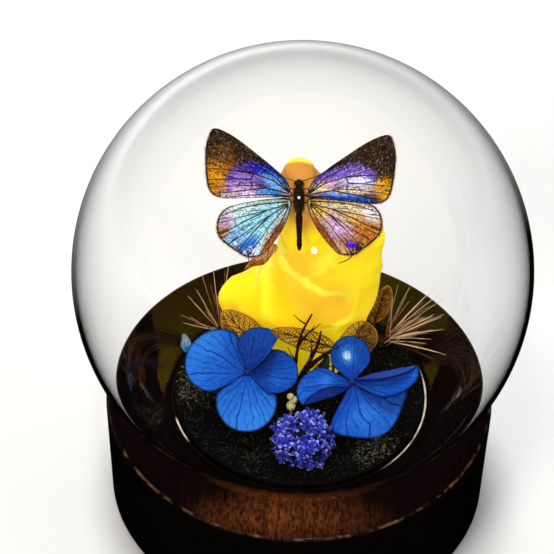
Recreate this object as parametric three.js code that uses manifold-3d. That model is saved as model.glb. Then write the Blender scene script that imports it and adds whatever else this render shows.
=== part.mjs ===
// A butterfly pinned to a lit yellow stone among dried flowers, under a clear glass globe on a
// turned wooden base. Millimetres, +Z up, origin at the middle of the base's underside, front at -Y.
import * as THREE from 'three';
import { mergeVertices } from 'three/addons/utils/BufferGeometryUtils.js';
import Module from 'manifold-3d';

const wasm = await Module();
wasm.setup();

const gap = 0.3; // clearance kept between pieces that touch
const mossGap = 0.7; // the same over the uneven moss

const base = {
  height: 28,
  topRadius: 42.7,
  bottomRadius: 41.4,
  edgeRadius: 1.6,
  footBevel: 0.8,
  seatRadius: 31.4,
  seatDepth: 2,
  segments: 40,
};
const seatHeight = base.height - base.seatDepth;

const globe = { radius: 50, wall: 1.2, centreHeight: 67.3, segments: 40, steps: 10 };
const rimHeight = seatHeight + gap;

const moss = {
  rimRadius: 25.9,
  waistRadius: 28,
  waistHeight: 28.3,
  topHeight: 29.8,
  shoulder: 0.8,
  ringRadii: [22, 16, 10, 5],
  lump: 0.4,
  segments: 26,
};

// The stone as level sections from its foot to its top: height, left and right edge, front and back.
const stoneSections = [
  [seatHeight + gap, -11, 10, 4, 21],
  [34, -13.3, 11.7, 3.7, 21.7],
  [39, -16, 13.4, 3.5, 22],
  [42, -17.5, 15.1, 3.5, 22.2],
  [44.6, -18, 16.2, 3.5, 22.3],
  [46.8, -16.4, 16.8, 3.7, 22.4],
  [49.4, -10.6, 17.1, 4, 22.5],
  [54, -7.2, 17.3, 4.5, 22.6],
  [60, -5.8, 17.3, 5.7, 22.7],
  [64, -5.6, 16.9, 6.7, 22.8],
  [68, -5.5, 13.6, 7.9, 22.8],
  [72, -5.5, 9.4, 9.4, 22.6],
  [76, -5.6, 5.4, 11.2, 22.2],
  [79, -5.5, 2.6, 12.7, 21.7],
  [81.2, -5.1, 1.5, 14.3, 20.9],
  [82, -3.8, 0, 15.5, 19.3],
];
const stone = { sides: 16, roundness: 2.3, lump: 0.03 };
const stoneHollow = { x: -0.5, y: 12.5, halfWidth: 13.2, halfDepth: 10.4, depth: 5, sides: 28 };

const lamp = {
  x: -0.5,
  y: 12.5,
  radius: 8,
  height: 5.4,
  rimHeight: 4,
  lensRadius: 6.4,
  pocketDepth: 6,
  sides: 20,
};

// The butterfly's own frame: x to its right wing, y to its head, z out of its back.
const butterfly = {
  position: [-1.27, 11, 79.33],
  tilt: 55,
  spin: -2,
  bodySpin: 4,
  dihedral: 10,
  wingThickness: 0.3,
  forewingLift: 0.1,
  hindwingLift: -0.6,
};
const forewingOutline = [
  [2, 1.2], [3, 3.6], [6, 6.4], [9.7, 9.3], [13.4, 12.1], [16.8, 14.1], [19.2, 14.6], [20.4, 12.4],
  [20.8, 9.6], [20.6, 5.5], [19.9, 1.8], [18.2, -0.1], [15, -0.6], [10, -0.4], [2.2, -0.1],
];
const hindwingOutline = [
  [2, -0.8], [8.5, -1], [14.5, -2], [17, -3.2], [18, -5.2], [17.7, -7.8], [16, -9.8], [13.8, -11.5],
  [11.6, -12.9], [9, -12.8], [7.2, -11.7], [5, -9.2], [3.3, -6.6], [2.1, -3.6],
];
const rightTail = [[11, -12.3], [11.1, -13.2], [10, -14.1], [8.1, -14.8]];
const leftTail = [[11.2, -12.3], [11.3, -13.2], [11.2, -14]];
const wings = [
  { side: 'right', sign: 1, foreSwing: 1.4, hindSwing: 5, tail: rightTail },
  { side: 'left', sign: -1, foreSwing: -1.4, hindSwing: -5, tail: leftTail },
];
const tailRadii = [0.25, 0.15];

// Radius and place along the body, from the tail's tip to the head.
const bodyProfile = [
  [0, -12.1], [0.35, -11.7], [0.6, -10.8], [0.58, -9], [0.7, -6.6], [0.78, -4.6], [0.62, -3.5],
  [1.15, -2.7], [1.42, -1.2], [1.4, 0.4], [1.1, 1.6], [0.6, 2.1], [0.85, 2.5], [0.9, 3.0], [0.5, 3.5],
  [0, 3.7],
];
const bodySides = 8;
// Each leg's joints: out from the body, along it from the leg's own station, and up from its axis.
const legStations = [1.2, -0.2, -1.8];
const legJoints = [[0.7, 0, -0.9], [1.9, 0.3, -1.15], [2.4, -1.2, -1.35]];
const legRadii = [0.16, 0.16];
const antennaPath = [[0.35, 3.2, 0.2], [1.8, 3.8, 1], [4.4, 4.9, 1.7], [8.2, 7.6, 2.5]];
const antennaRadii = [0.14, 0.2];

const pin = { radius: 0.22, headRadius: 0.42, point: 1, top: 1.95, bottom: -6, holeRadius: 0.55, sides: 8 };

// A sepal starts a little off the flower's middle, narrow, and has its full width part of the way along.
const sepalThickness = 0.3;
const sepalSteps = 6;
const sepalStart = 1.8;
const sepalNarrow = 0.45;
const sepalFullAt = 0.45;
const stem = { radius: 0.7, budRadius: 1.25, sides: 10 };
const hydrangeas = [
  {
    side: 'left',
    centre: [-11.5, -5.3, 40],
    tilt: 20,
    sepals: [
      { turn: 160, lift: 1, length: 14.2, width: 15.4, cup: 0.8, droop: 0.8 },
      { turn: 270, lift: 0, length: 13.6, width: 13.4, cup: 0.6, droop: 1.2 },
      { turn: 4, lift: 3, length: 11.2, width: 11.6, cup: 0.5, droop: 0.6, foldAt: 0.3, foldAngle: 115 },
      { turn: 70, lift: 16, length: 10.8, width: 7, cup: 0.6, droop: 0.4 },
    ],
  },
  {
    side: 'right',
    centre: [11.5, -7.3, 40],
    tilt: 18,
    sepals: [
      { turn: 95, lift: 10, length: 10.8, width: 8.8, cup: 0.9, droop: 0.5 },
      { turn: 203, lift: 4, length: 12.6, width: 9.4, cup: 0.5, droop: 0.4, foldAt: -0.2, foldAngle: 35 },
      { turn: 9, lift: 12, length: 15, width: 9.6, cup: 0.4, droop: 0.6, foldAt: 0.2, foldAngle: 70 },
      { turn: 305, lift: -10, length: 12.6, width: 16.4, cup: 0.6, droop: 0.6 },
    ],
  },
];

// Single leaves and sepals: the two ends of the midrib, the way the face looks, width and cupping.
const leafOf = (foot, tip, face, width, cup) => ({ foot, tip, face, width, cup });
const looseSepal = leafOf([-25.3, 9, 30.6], [-26.4, 10.6, 35], [0.5, -0.6, 0.6], 3, 0.4);
const drySepal = leafOf([3, -4.4, 31], [6.3, -1.8, 43], [-0.2, -0.9, 0.4], 3.2, 0.9);
const skeletonLeaves = {
  left: leafOf([-8.6, 1.6, 39.6], [-17.2, 6.6, 47], [-0.2, -0.85, 0.5], 8.6, 0.4),
  right: leafOf([12.6, 3, 36], [12.7, 4.2, 47.2], [0.4, -0.85, 0.3], 10.6, -0.4),
  middle: leafOf([7.4, 1.2, 42], [-6.4, 1.7, 46.6], [0, -0.9, 0.4], 5.2, 0.2),
  side: leafOf([16.4, 19.2, 31.4], [18.9, 16.6, 46.2], [0.2, -0.8, 0.5], 5, 0.4),
  back: leafOf([-12, 23.6, 31.4], [-6.4, 25, 49], [0, -0.9, 0.3], 8, -0.6),
};
const leafThickness = 0.3;
const leafSteps = 5;
const leafTaper = 0.35; // share of the width lost at the tip
const leafCurl = 0.6; // curl along the leaf, as a share of the cupping across it
const stalkRadii = [0.35, 0.35];
const stalkOverlap = 1; // how far the stalk runs up the leaf

const clusterCentre = [1, -18.6, 33.9];
// Lobes and bud heads: the middle and the radius of each.
const clusterLobes = [
  [0, 0, 0.8, 3.6], [-3.6, 1.4, 0.2, 2.8], [1.8, 3.2, 1, 2.9], [4, 0, 0.2, 2.8], [2, -4, -0.6, 2.9],
  [-2.6, -3.4, -0.6, 3.1],
];
const budHeads = [[-1.7, -9.6, 34.4, 1.1], [-1.2, -9, 35.7, 0.95], [-1.9, -9.1, 36.9, 0.8]];
const budStalkRadii = [0.4, 0.4];

// Dry grass: each blade's compass angle, rise and length from the middle of its tuft.
const bladeRadii = [0.24, 0.12];
const bladeStart = 0.4; // height of the blades' roots in the clump
const tufts = [
  {
    side: 'right',
    root: [18.6, 14.8],
    sag: 0.12,
    blades: [
      [22, 47, 17.5], [20, 41, 16.5], [9, 39, 17], [-4, 45, 11], [-2, 38, 13.5], [-1, 30, 14.5],
      [6, 27, 15], [-13, 27, 12.6], [-7, 20, 14], [-28, 10, 13.5], [-24, 9, 15.6], [34, 66, 15],
      [50, 72, 14.6], [-17, 33, 9.6],
    ],
  },
  {
    side: 'left',
    root: [-18, 16.4],
    sag: -0.05,
    blades: [
      [176, 75, 17], [140, 82, 18.6], [70, 80, 18.6], [190, 57, 13.4], [194, 34, 11], [198, 25, 9.6],
      [182, 66, 13.4],
    ],
  },
];
const tuftProfile = [[0, 0], [2, 0], [1.6, 1], [0, 1.4]];
const tuftSides = 8;

// Twigs as paths with the radius at each end, the first one the stout stem.
const twigs = [
  { path: [[-1.2, -3.6, 30.6], [-0.5, -2.6, 34], [2.3, -1.2, 38.6], [7.4, -0.4, 43.2]], radii: [1, 0.45] },
  { path: [[-1, -3, 33], [-1, -1.4, 38], [-0.2, -0.4, 46.4], [2.3, 0.9, 52.9]], radii: [0.5, 0.16] },
  { path: [[-0.4, -0.7, 44.5], [0.6, -0.4, 46.4], [2.1, 0, 48.4]], radii: [0.3, 0.14] },
  { path: [[0.4, -1.9, 36.4], [3.4, -0.9, 43.4], [4.4, 0.1, 48.4]], radii: [0.45, 0.15] },
];

const finish = (color, roughness, metalness = 0) =>
  new THREE.MeshStandardMaterial({ color, roughness, metalness, side: THREE.DoubleSide });
const materials = {
  wood: finish('#1d0f0a', 0.3),
  glass: Object.assign(finish('#eef3f4', 0.02), { transparent: true, opacity: 0.25 }),
  lamp: finish('#fff2c4', 0.4),
  moss: finish('#14140f', 0.95),
  stone: finish('#ffcf1c', 0.25),
  body: finish('#21160f', 0.8),
  forewing: finish('#6f63c8', 0.5),
  hindwing: finish('#8fc3e6', 0.5),
  steel: finish('#d5d7da', 0.2, 1),
  blueSepal: finish('#2a58dc', 0.6),
  drySepal: finish('#2c3a44', 0.7),
  violetFlower: finish('#4a49c4', 0.8),
  creamBud: finish('#e6dcae', 0.8),
  skeletonLeaf: finish('#a06a26', 0.8),
  grass: finish('#b28f6a', 0.7),
  twig: finish('#3a1d14', 0.8),
};

const specimen = new THREE.Group();

function addPiece(name, geometry, material, parent = specimen) {
  const mesh = new THREE.Mesh(geometry, material);
  mesh.name = name;
  parent.add(mesh);
  return mesh;
}

const radians = THREE.MathUtils.degToRad;
const vector = (p) => new THREE.Vector3(...p);

function signedVolume(geometry) {
  const position = geometry.attributes.position;
  const corners = [new THREE.Vector3(), new THREE.Vector3(), new THREE.Vector3()];
  let sum = 0;
  for (let i = 0; i < geometry.index.count; i += 3) {
    corners.forEach((corner, k) => corner.fromBufferAttribute(position, geometry.index.getX(i + k)));
    sum += corners[0].dot(corners[1].clone().cross(corners[2])) / 6;
  }
  return sum;
}

// Joins doubled points, drops empty triangles and turns the faces outwards.
function closed(geometry) {
  const bare = geometry.clone();
  bare.deleteAttribute('normal');
  bare.deleteAttribute('uv');
  const merged = mergeVertices(bare, 1e-4);
  const kept = [];
  for (let i = 0; i < merged.index.count; i += 3) {
    const [a, b, c] = [0, 1, 2].map((k) => merged.index.getX(i + k));
    if (a !== b && b !== c && c !== a) kept.push([a, b, c]);
  }
  merged.setIndex(kept.flat());
  if (signedVolume(merged) < 0) merged.setIndex(kept.map(([a, b, c]) => [a, c, b]).flat());
  merged.computeVertexNormals();
  return merged;
}

function fromPoints(points, indices) {
  const geometry = new THREE.BufferGeometry();
  geometry.setFromPoints(points);
  geometry.setIndex(indices);
  return closed(geometry);
}

function toSolid(geometry) {
  const shell = closed(geometry);
  const vertProperties = Float32Array.from(shell.attributes.position.array);
  const triVerts = Uint32Array.from(shell.index.array);
  return new wasm.Manifold(new wasm.Mesh({ numProp: 3, vertProperties, triVerts }));
}

function fromSolid(solid) {
  const mesh = solid.getMesh();
  const geometry = new THREE.BufferGeometry();
  geometry.setAttribute('position', new THREE.BufferAttribute(Float32Array.from(mesh.vertProperties), 3));
  geometry.setIndex(new THREE.BufferAttribute(Uint32Array.from(mesh.triVerts), 1));
  geometry.computeVertexNormals();
  return geometry;
}

const joined = (geometries) =>
  fromSolid(geometries.map(toSolid).reduce((whole, piece) => whole.add(piece)));

const cut = (geometry, tool) => fromSolid(toSolid(geometry).subtract(toSolid(tool)));

// A turned shape: the profile's points are radius and height.
function turned(profile, segments) {
  const points = profile.map(([radius, height]) => new THREE.Vector2(radius, height));
  return closed(new THREE.LatheGeometry(points, segments).rotateX(Math.PI / 2));
}

// Rings of points, one above the other, closed by a fan at each end.
function lofted(rings) {
  const sides = rings[0].length;
  const points = rings.flat();
  const indices = [];
  for (let row = 0; row + 1 < rings.length; row += 1) {
    for (let side = 0; side < sides; side += 1) {
      const next = (side + 1) % sides;
      const [a, b] = [row * sides + side, row * sides + next];
      indices.push(a, b, b + sides, a, b + sides, a + sides);
    }
  }
  for (const [row, turnedOver] of [[0, true], [rings.length - 1, false]]) {
    const middle = rings[row].reduce((sum, p) => sum.add(p), new THREE.Vector3()).divideScalar(sides);
    const tip = points.push(middle) - 1;
    for (let side = 0; side < sides; side += 1) {
      const [a, b] = [row * sides + side, row * sides + (side + 1) % sides];
      indices.push(...(turnedOver ? [b, a, tip] : [a, b, tip]));
    }
  }
  return fromPoints(points, indices);
}

// A round shoot along a smooth path, thinning from its first radius to its last.
function shoot(path, [firstRadius, lastRadius], sides = 4, steps = 4) {
  const curve = new THREE.CatmullRomCurve3(path.map(vector));
  const frames = curve.computeFrenetFrames(steps);
  const rings = [];
  for (let step = 0; step <= steps; step += 1) {
    const radius = THREE.MathUtils.lerp(firstRadius, lastRadius, step / steps);
    const middle = curve.getPointAt(step / steps);
    rings.push(Array.from({ length: sides }, (_, side) => {
      const angle = (2 * Math.PI * side) / sides;
      return middle.clone()
        .addScaledVector(frames.normals[step], radius * Math.cos(angle))
        .addScaledVector(frames.binormals[step], radius * Math.sin(angle));
    }));
  }
  return lofted(rings);
}

// A thin sheet over a disc: pointAt takes a place across and along it, each from -1 to 1.
function sheet(pointAt, thickness, steps) {
  const nudge = 1e-3;
  const row = steps + 1;
  const half = thickness / 2;
  const faces = [[], []];
  for (let j = 0; j <= steps; j += 1) {
    for (let i = 0; i <= steps; i += 1) {
      const [u, v] = [(2 * i) / steps - 1, (2 * j) / steps - 1];
      const [a, b] = [u * Math.sqrt(1 - (v * v) / 2), v * Math.sqrt(1 - (u * u) / 2)];
      const across = pointAt(a + nudge, b).sub(pointAt(a - nudge, b));
      const along = pointAt(a, b + nudge).sub(pointAt(a, b - nudge));
      const normal = across.cross(along).normalize();
      faces[0].push(pointAt(a, b).addScaledVector(normal, half));
      faces[1].push(pointAt(a, b).addScaledVector(normal, -half));
    }
  }
  const under = row * row;
  const indices = [];
  for (let j = 0; j < steps; j += 1) {
    for (let i = 0; i < steps; i += 1) {
      const [a, b, c, d] = [j * row + i, j * row + i + 1, (j + 1) * row + i + 1, (j + 1) * row + i];
      indices.push(a, b, c, a, c, d);
      indices.push(under + a, under + c, under + b, under + a, under + d, under + c);
    }
  }
  const rim = [];
  for (let k = 0; k < steps; k += 1) rim.push(k);
  for (let k = 0; k < steps; k += 1) rim.push(k * row + steps);
  for (let k = steps; k > 0; k -= 1) rim.push(steps * row + k);
  for (let k = steps; k > 0; k -= 1) rim.push(k * row);
  rim.forEach((from, k) => {
    const to = rim[(k + 1) % rim.length];
    indices.push(from, under + to, to, from, under + from, under + to);
  });
  return fromPoints(faces.flat(), indices);
}

// A sepal in its own frame: y from the flower's middle outwards, x across, z up.
function sepalGeometry({ length, width, cup, droop, foldAt = 2, foldAngle = 0 }) {
  const bend = radians(foldAngle);
  const pointAt = (a, b) => {
    const run = (b + 1) / 2;
    const opened = THREE.MathUtils.smoothstep(run, 0, sepalFullAt);
    const halfWidth = (width / 2) * THREE.MathUtils.lerp(sepalNarrow, 1, opened);
    const past = Math.max(0, (a - foldAt) * halfWidth);
    const flat = a * halfWidth - past;
    const rise = cup * a * a - droop * run * run;
    return new THREE.Vector3(
      -(flat + past * Math.cos(bend)),
      sepalStart + run * (length - sepalStart),
      rise + past * Math.sin(bend),
    );
  };
  return sheet(pointAt, sepalThickness, sepalSteps);
}

// A single leaf set between the two ends of its midrib.
function leafGeometry({ foot, tip, face, width, cup }) {
  const start = vector(foot);
  const along = vector(tip).sub(start);
  const side = along.clone().cross(vector(face)).normalize();
  const out = side.clone().cross(along).normalize();
  const pointAt = (a, b) => {
    const run = (b + 1) / 2;
    const halfWidth = (width / 2) * (1 - leafTaper * run * run);
    return start.clone()
      .addScaledVector(along, run)
      .addScaledVector(side, a * halfWidth)
      .addScaledVector(out, cup * (a * a + leafCurl * b * b));
  };
  return sheet(pointAt, leafThickness, leafSteps);
}

// The moss is uneven: two slow waves across each other and one slanting one.
function mossTop(x, y) {
  const crossed = Math.sin(0.55 * x + 1) * Math.cos(0.5 * y);
  const slanting = Math.sin(0.9 * x - 0.7 * y);
  return moss.topHeight + moss.lump * (crossed + slanting / 2);
}

function makeBase() {
  const { height, topRadius, bottomRadius, edgeRadius, footBevel, seatRadius } = base;
  const edge = [0, 30, 60, 90].map((degrees) => [
    topRadius - edgeRadius + edgeRadius * Math.cos(radians(degrees)),
    height - edgeRadius + edgeRadius * Math.sin(radians(degrees)),
  ]);
  const block = turned([
    [0, 0],
    [bottomRadius - footBevel, 0],
    [bottomRadius, footBevel],
    ...edge,
    [seatRadius, height],
    [seatRadius, seatHeight],
    [0, seatHeight],
  ], base.segments);
  const bore = lamp.radius + gap;
  const pocket = new THREE.CylinderGeometry(bore, bore, 2 * lamp.pocketDepth, lamp.sides);
  pocket.rotateX(Math.PI / 2).translate(lamp.x, lamp.y, seatHeight);
  addPiece('wooden_base', cut(block, pocket), materials.wood);
}

function makeLamp() {
  const disc = turned([
    [0, 0],
    [lamp.radius, 0],
    [lamp.radius, lamp.rimHeight],
    [lamp.lensRadius, lamp.height - gap],
    [0, lamp.height],
  ], lamp.sides);
  disc.translate(lamp.x, lamp.y, seatHeight - lamp.pocketDepth + gap);
  addPiece('led_lamp', disc, materials.lamp);
}

function makeGlobe() {
  const { radius, wall, centreHeight, segments, steps } = globe;
  const arc = (size) => {
    const opening = Math.acos((rimHeight - centreHeight) / size);
    return Array.from({ length: steps + 1 }, (_, step) => {
      const angle = (opening * step) / steps;
      return [step === 0 ? 0 : size * Math.sin(angle), centreHeight + size * Math.cos(angle)];
    });
  };
  const shell = turned([...arc(radius), ...arc(radius - wall).reverse()], segments);
  addPiece('glass_globe', shell, materials.glass);
}

function makeMoss() {
  const floor = seatHeight + gap;
  const { rimRadius, waistRadius, waistHeight, topHeight, shoulder, ringRadii, segments } = moss;
  const shoulderHeight = (waistHeight + topHeight) / 2 + gap;
  const bed = turned([
    [0, floor],
    [rimRadius, floor],
    [waistRadius, waistHeight],
    [waistRadius - shoulder, shoulderHeight],
    ...ringRadii.map((radius) => [radius, topHeight]),
    [0, topHeight],
  ], segments);
  const position = bed.attributes.position;
  for (let i = 0; i < position.count; i += 1) {
    const [x, y, z] = [position.getX(i), position.getY(i), position.getZ(i)];
    if (z > shoulderHeight + gap) position.setZ(i, mossTop(x, y));
  }
  const { x, y, halfWidth, halfDepth, depth, sides } = stoneHollow;
  const hollow = new THREE.CylinderGeometry(1, 1, 2 * depth, sides).rotateX(Math.PI / 2);
  hollow.scale(halfWidth, halfDepth, 1).translate(x, y, topHeight);
  addPiece('moss_bed', cut(bed, hollow), materials.moss);
}

const butterflyGroup = new THREE.Group();
butterflyGroup.position.set(...butterfly.position);
butterflyGroup.rotation.set(radians(butterfly.tilt), 0, radians(butterfly.spin));
specimen.add(butterflyGroup);
butterflyGroup.updateMatrixWorld(true);

function pinHole() {
  const length = 2 * (gap - pin.bottom);
  return new THREE.CylinderGeometry(pin.holeRadius, pin.holeRadius, length, pin.sides).rotateX(Math.PI / 2);
}

function makeStone() {
  const power = 2 / stone.roundness;
  const rounded = (value) => Math.sign(value) * Math.abs(value) ** power;
  const rings = stoneSections.map(([height, left, right, front, back]) =>
    Array.from({ length: stone.sides }, (_, side) => {
      const angle = (2 * Math.PI * side) / stone.sides;
      const broadLumps = Math.sin(3 * angle + 0.11 * height);
      const smallLumps = 0.7 * Math.sin(5 * angle - 0.17 * height);
      const swell = 1 + stone.lump * (broadLumps + smallLumps);
      return new THREE.Vector3(
        (left + right) / 2 + ((right - left) / 2) * swell * rounded(Math.cos(angle)),
        (front + back) / 2 + ((back - front) / 2) * swell * rounded(Math.sin(angle)),
        height,
      );
    }));
  const hole = pinHole().applyMatrix4(butterflyGroup.matrixWorld);
  addPiece('yellow_stone', cut(lofted(rings), hole), materials.stone);
}

function makeBody() {
  const profile = bodyProfile.map(([radius, y]) => new THREE.Vector2(radius, y));
  const trunk = new THREE.LatheGeometry(profile, bodySides);
  const limbs = [];
  for (const sign of [1, -1]) {
    for (const station of legStations) {
      const path = legJoints.map(([x, y, z]) => [sign * x, station + y, z]);
      limbs.push(shoot(path, legRadii, 3, 3));
    }
    limbs.push(shoot(antennaPath.map(([x, y, z]) => [sign * x, y, z]), antennaRadii, 3));
  }
  const pierced = cut(joined([trunk, ...limbs]), pinHole());
  const body = addPiece('butterfly_body', pierced, materials.body, butterflyGroup);
  body.rotation.z = radians(butterfly.bodySpin);
}

function makePin() {
  const { radius, headRadius, point, top, bottom, sides } = pin;
  const shaft = turned([
    [0, bottom],
    [radius, bottom + point],
    [radius, top - headRadius],
    [headRadius, top],
    [headRadius * Math.SQRT1_2, top + headRadius * Math.SQRT1_2],
    [0, top + headRadius],
  ], sides);
  addPiece('insect_pin', shaft, materials.steel, butterflyGroup);
}

function wingPlate(outline, sign, lift) {
  const shape = new THREE.Shape();
  const points = outline.map(([x, y]) => new THREE.Vector2(sign * x, y));
  shape.moveTo(points[0].x, points[0].y);
  shape.splineThru([...points.slice(1), points[0]]);
  const settings = { depth: butterfly.wingThickness, bevelEnabled: false, curveSegments: 2 };
  return new THREE.ExtrudeGeometry(shape, settings).translate(0, 0, lift);
}

function makeWings() {
  const { dihedral, forewingLift, hindwingLift, wingThickness } = butterfly;
  for (const { side, sign, foreSwing, hindSwing, tail } of wings) {
    const tailPath = tail.map(([x, y]) => [sign * x, y, hindwingLift + wingThickness / 2]);
    const forewing = wingPlate(forewingOutline, sign, forewingLift);
    const hindwing = joined([wingPlate(hindwingOutline, sign, hindwingLift), shoot(tailPath, tailRadii)]);
    const plates = [
      [`forewing_${side}`, forewing, foreSwing, materials.forewing],
      [`hindwing_${side}`, hindwing, hindSwing, materials.hindwing],
    ];
    for (const [name, geometry, swing, material] of plates) {
      const wing = addPiece(name, closed(geometry), material, butterflyGroup);
      wing.rotation.set(0, radians(-sign * dihedral), radians(sign * swing));
    }
  }
}

function makeHydrangeas() {
  for (const { side, centre, tilt, sepals } of hydrangeas) {
    const flower = new THREE.Group();
    flower.position.set(...centre);
    flower.rotation.x = radians(tilt);
    specimen.add(flower);
    sepals.forEach((sepal, index) => {
      const holder = new THREE.Group();
      holder.rotation.z = radians(sepal.turn - 90);
      flower.add(holder);
      const name = `hydrangea_${side}_sepal_${index + 1}`;
      const mesh = addPiece(name, sepalGeometry(sepal), materials.blueSepal, holder);
      mesh.rotation.x = radians(sepal.lift);
    });
    const [x, y, z] = centre;
    const { radius, budRadius, sides } = stem;
    const foot = mossTop(x, y) + mossGap;
    const stalk = turned([
      [0, foot],
      [radius, foot],
      [radius, z - budRadius],
      [budRadius, z],
      [budRadius * Math.SQRT1_2, z + budRadius * Math.SQRT1_2],
      [0, z + budRadius],
    ], sides).translate(x, y, 0);
    addPiece(`hydrangea_${side}_stem`, stalk, materials.blueSepal);
  }
}

function makeLeaves() {
  addPiece('loose_sepal', leafGeometry(looseSepal), materials.blueSepal);
  addPiece('dry_sepal', leafGeometry(drySepal), materials.drySepal);
  for (const [place, leaf] of Object.entries(skeletonLeaves)) {
    const [x, y, z] = leaf.foot;
    const ground = mossTop(x, y) + mossGap;
    const stalk = shoot([[x, y, ground], [x, y, (ground + z) / 2], [x, y, z + stalkOverlap]], stalkRadii);
    addPiece(`skeleton_leaf_${place}`, joined([leafGeometry(leaf), stalk]), materials.skeletonLeaf);
  }
}

function makeCluster() {
  const lobes = clusterLobes.map(([x, y, z, radius]) =>
    new THREE.IcosahedronGeometry(radius, 1).translate(x, y, z).translate(...clusterCentre));
  addPiece('cluster_flower', joined(lobes), materials.violetFlower);
}

function makeBuds() {
  const [x, y, top] = budHeads[0];
  const ground = mossTop(x, y) + mossGap;
  const stalk = shoot([[x, y, ground], [x, y, (ground + top) / 2], [x, y, top]], budStalkRadii, 5);
  const heads = budHeads.map(([headX, headY, headZ, radius]) =>
    new THREE.SphereGeometry(radius, 6, 4).translate(headX, headY, headZ));
  addPiece('cream_buds', joined([stalk, ...heads]), materials.creamBud);
}

function makeGrass() {
  for (const { side, root: [x, y], sag, blades } of tufts) {
    const ground = mossTop(x, y) + mossGap;
    const clump = turned(tuftProfile, tuftSides).translate(x, y, ground);
    const shoots = blades.map(([compass, rise, length]) => {
      const level = length * Math.cos(radians(rise));
      const height = length * Math.sin(radians(rise));
      const at = (part) => [
        x + part * level * Math.cos(radians(compass)),
        y + part * level * Math.sin(radians(compass)),
        ground + bladeStart + part * height + sag * length * part * (1 - part),
      ];
      return shoot([at(0), at(0.5), at(1)], bladeRadii, 3, 3);
    });
    addPiece(`grass_tuft_${side}`, joined([clump, ...shoots]), materials.grass);
  }
}

function makeTwigs() {
  addPiece('twig_sprig', joined(twigs.map(({ path, radii }) => shoot(path, radii, 5, 5))), materials.twig);
}

makeBase();
makeLamp();
makeGlobe();
makeMoss();
makeStone();
makeBody();
makePin();
makeWings();
makeHydrangeas();
makeLeaves();
makeCluster();
makeBuds();
makeGrass();
makeTwigs();

export default specimen;
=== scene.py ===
import math
import random

import bpy
import numpy as np
from mathutils import Matrix, Vector, noise
from mathutils.geometry import delaunay_2d_cdt


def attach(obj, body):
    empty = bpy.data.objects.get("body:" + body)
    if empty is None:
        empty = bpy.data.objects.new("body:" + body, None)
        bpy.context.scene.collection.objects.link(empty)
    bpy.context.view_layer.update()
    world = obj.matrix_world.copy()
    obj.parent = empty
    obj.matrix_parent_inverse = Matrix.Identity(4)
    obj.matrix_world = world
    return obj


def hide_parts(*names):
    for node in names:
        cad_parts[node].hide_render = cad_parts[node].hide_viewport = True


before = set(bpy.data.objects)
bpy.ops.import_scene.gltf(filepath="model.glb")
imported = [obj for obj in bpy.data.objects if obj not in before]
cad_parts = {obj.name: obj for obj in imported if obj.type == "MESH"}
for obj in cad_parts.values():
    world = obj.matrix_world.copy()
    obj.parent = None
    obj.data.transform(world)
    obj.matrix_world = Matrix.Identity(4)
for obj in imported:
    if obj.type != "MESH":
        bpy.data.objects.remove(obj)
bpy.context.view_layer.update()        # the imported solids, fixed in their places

mm = 0.001
dice = random.Random(7)


def linear(hexText):
    # sRGB hex to the linear colour a shader socket takes
    parts = [int(hexText[i:i + 2], 16) / 255 for i in (1, 3, 5)]
    return [p / 12.92 if p <= 0.04045 else ((p + 0.055) / 1.055) ** 2.4 for p in parts] + [1]


def outputOf(source):
    # a socket as it is, or the first output that a node has in use
    if isinstance(source, bpy.types.NodeSocket):
        return source
    return next(socket for socket in source.outputs if socket.enabled)


def addNode(tree, kind, settings=None, links=None):
    # one node with its settings (properties, sockets or ramp stops) and the nodes or sockets that feed it
    node = tree.nodes.new("ShaderNode" + kind)
    for key, value in (settings or {}).items():
        if key == "stops":
            ramp = node.color_ramp.elements
            while len(ramp) < len(value):
                ramp.new(0.5)
            for element, (place, shade) in zip(ramp, value):
                element.position = place
                element.color = linear(shade) if isinstance(shade, str) else [shade] * 3 + [1]
        elif isinstance(key, str) and key in node.bl_rna.properties:
            setattr(node, key, value)
        else:
            node.inputs[key].default_value = value
    for key, source in (links or {}).items():
        tree.links.new(outputOf(source), node.inputs[key])
    return node


def newMaterial(name, sockets):
    # a Principled material with its even values set straight on the sockets
    material = bpy.data.materials.new(name)
    material.use_nodes = True
    tree = material.node_tree
    shader = tree.nodes["Principled BSDF"]
    for key, value in sockets.items():
        shader.inputs[key].default_value = value
    return material, tree, shader


def bumpFrom(tree, shader, height, distance, strength=0.6):
    bump = addNode(tree, "Bump", {"Strength": strength, "Distance": distance * mm}, {"Height": height})
    tree.links.new(bump.outputs["Normal"], shader.inputs["Normal"])


def fleckedMaterial(name, sockets, fleckSize, stops, kind="TexNoise", detail=3, mark=None, share=0, bump=0):
    # colour along a ramp by fine flecks and, where there is one, by a mark on the mesh
    material, tree, shader = newMaterial(name, sockets)
    place = addNode(tree, "TexCoord")
    fleck = addNode(tree, kind, {"Scale": 1 / (fleckSize * mm), "Detail": detail},
                    {"Vector": place.outputs["Object"]})
    amount = fleck
    if mark:
        shade = addNode(tree, "Attribute", {"attribute_name": mark})
        amount = addNode(tree, "Math", {"operation": "MULTIPLY_ADD", 1: share},
                         {0: fleck, 2: shade.outputs["Fac"]})
    colour = addNode(tree, "ValToRGB", {"stops": stops}, {"Fac": amount})
    tree.links.new(colour.outputs["Color"], shader.inputs["Base Color"])
    if bump:
        bumpFrom(tree, shader, fleck, bump)
    return material


mixFactor, mixFirst, mixSecond, mixColour = 0, 6, 7, 2   # the colour sockets of a Mix node


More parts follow.
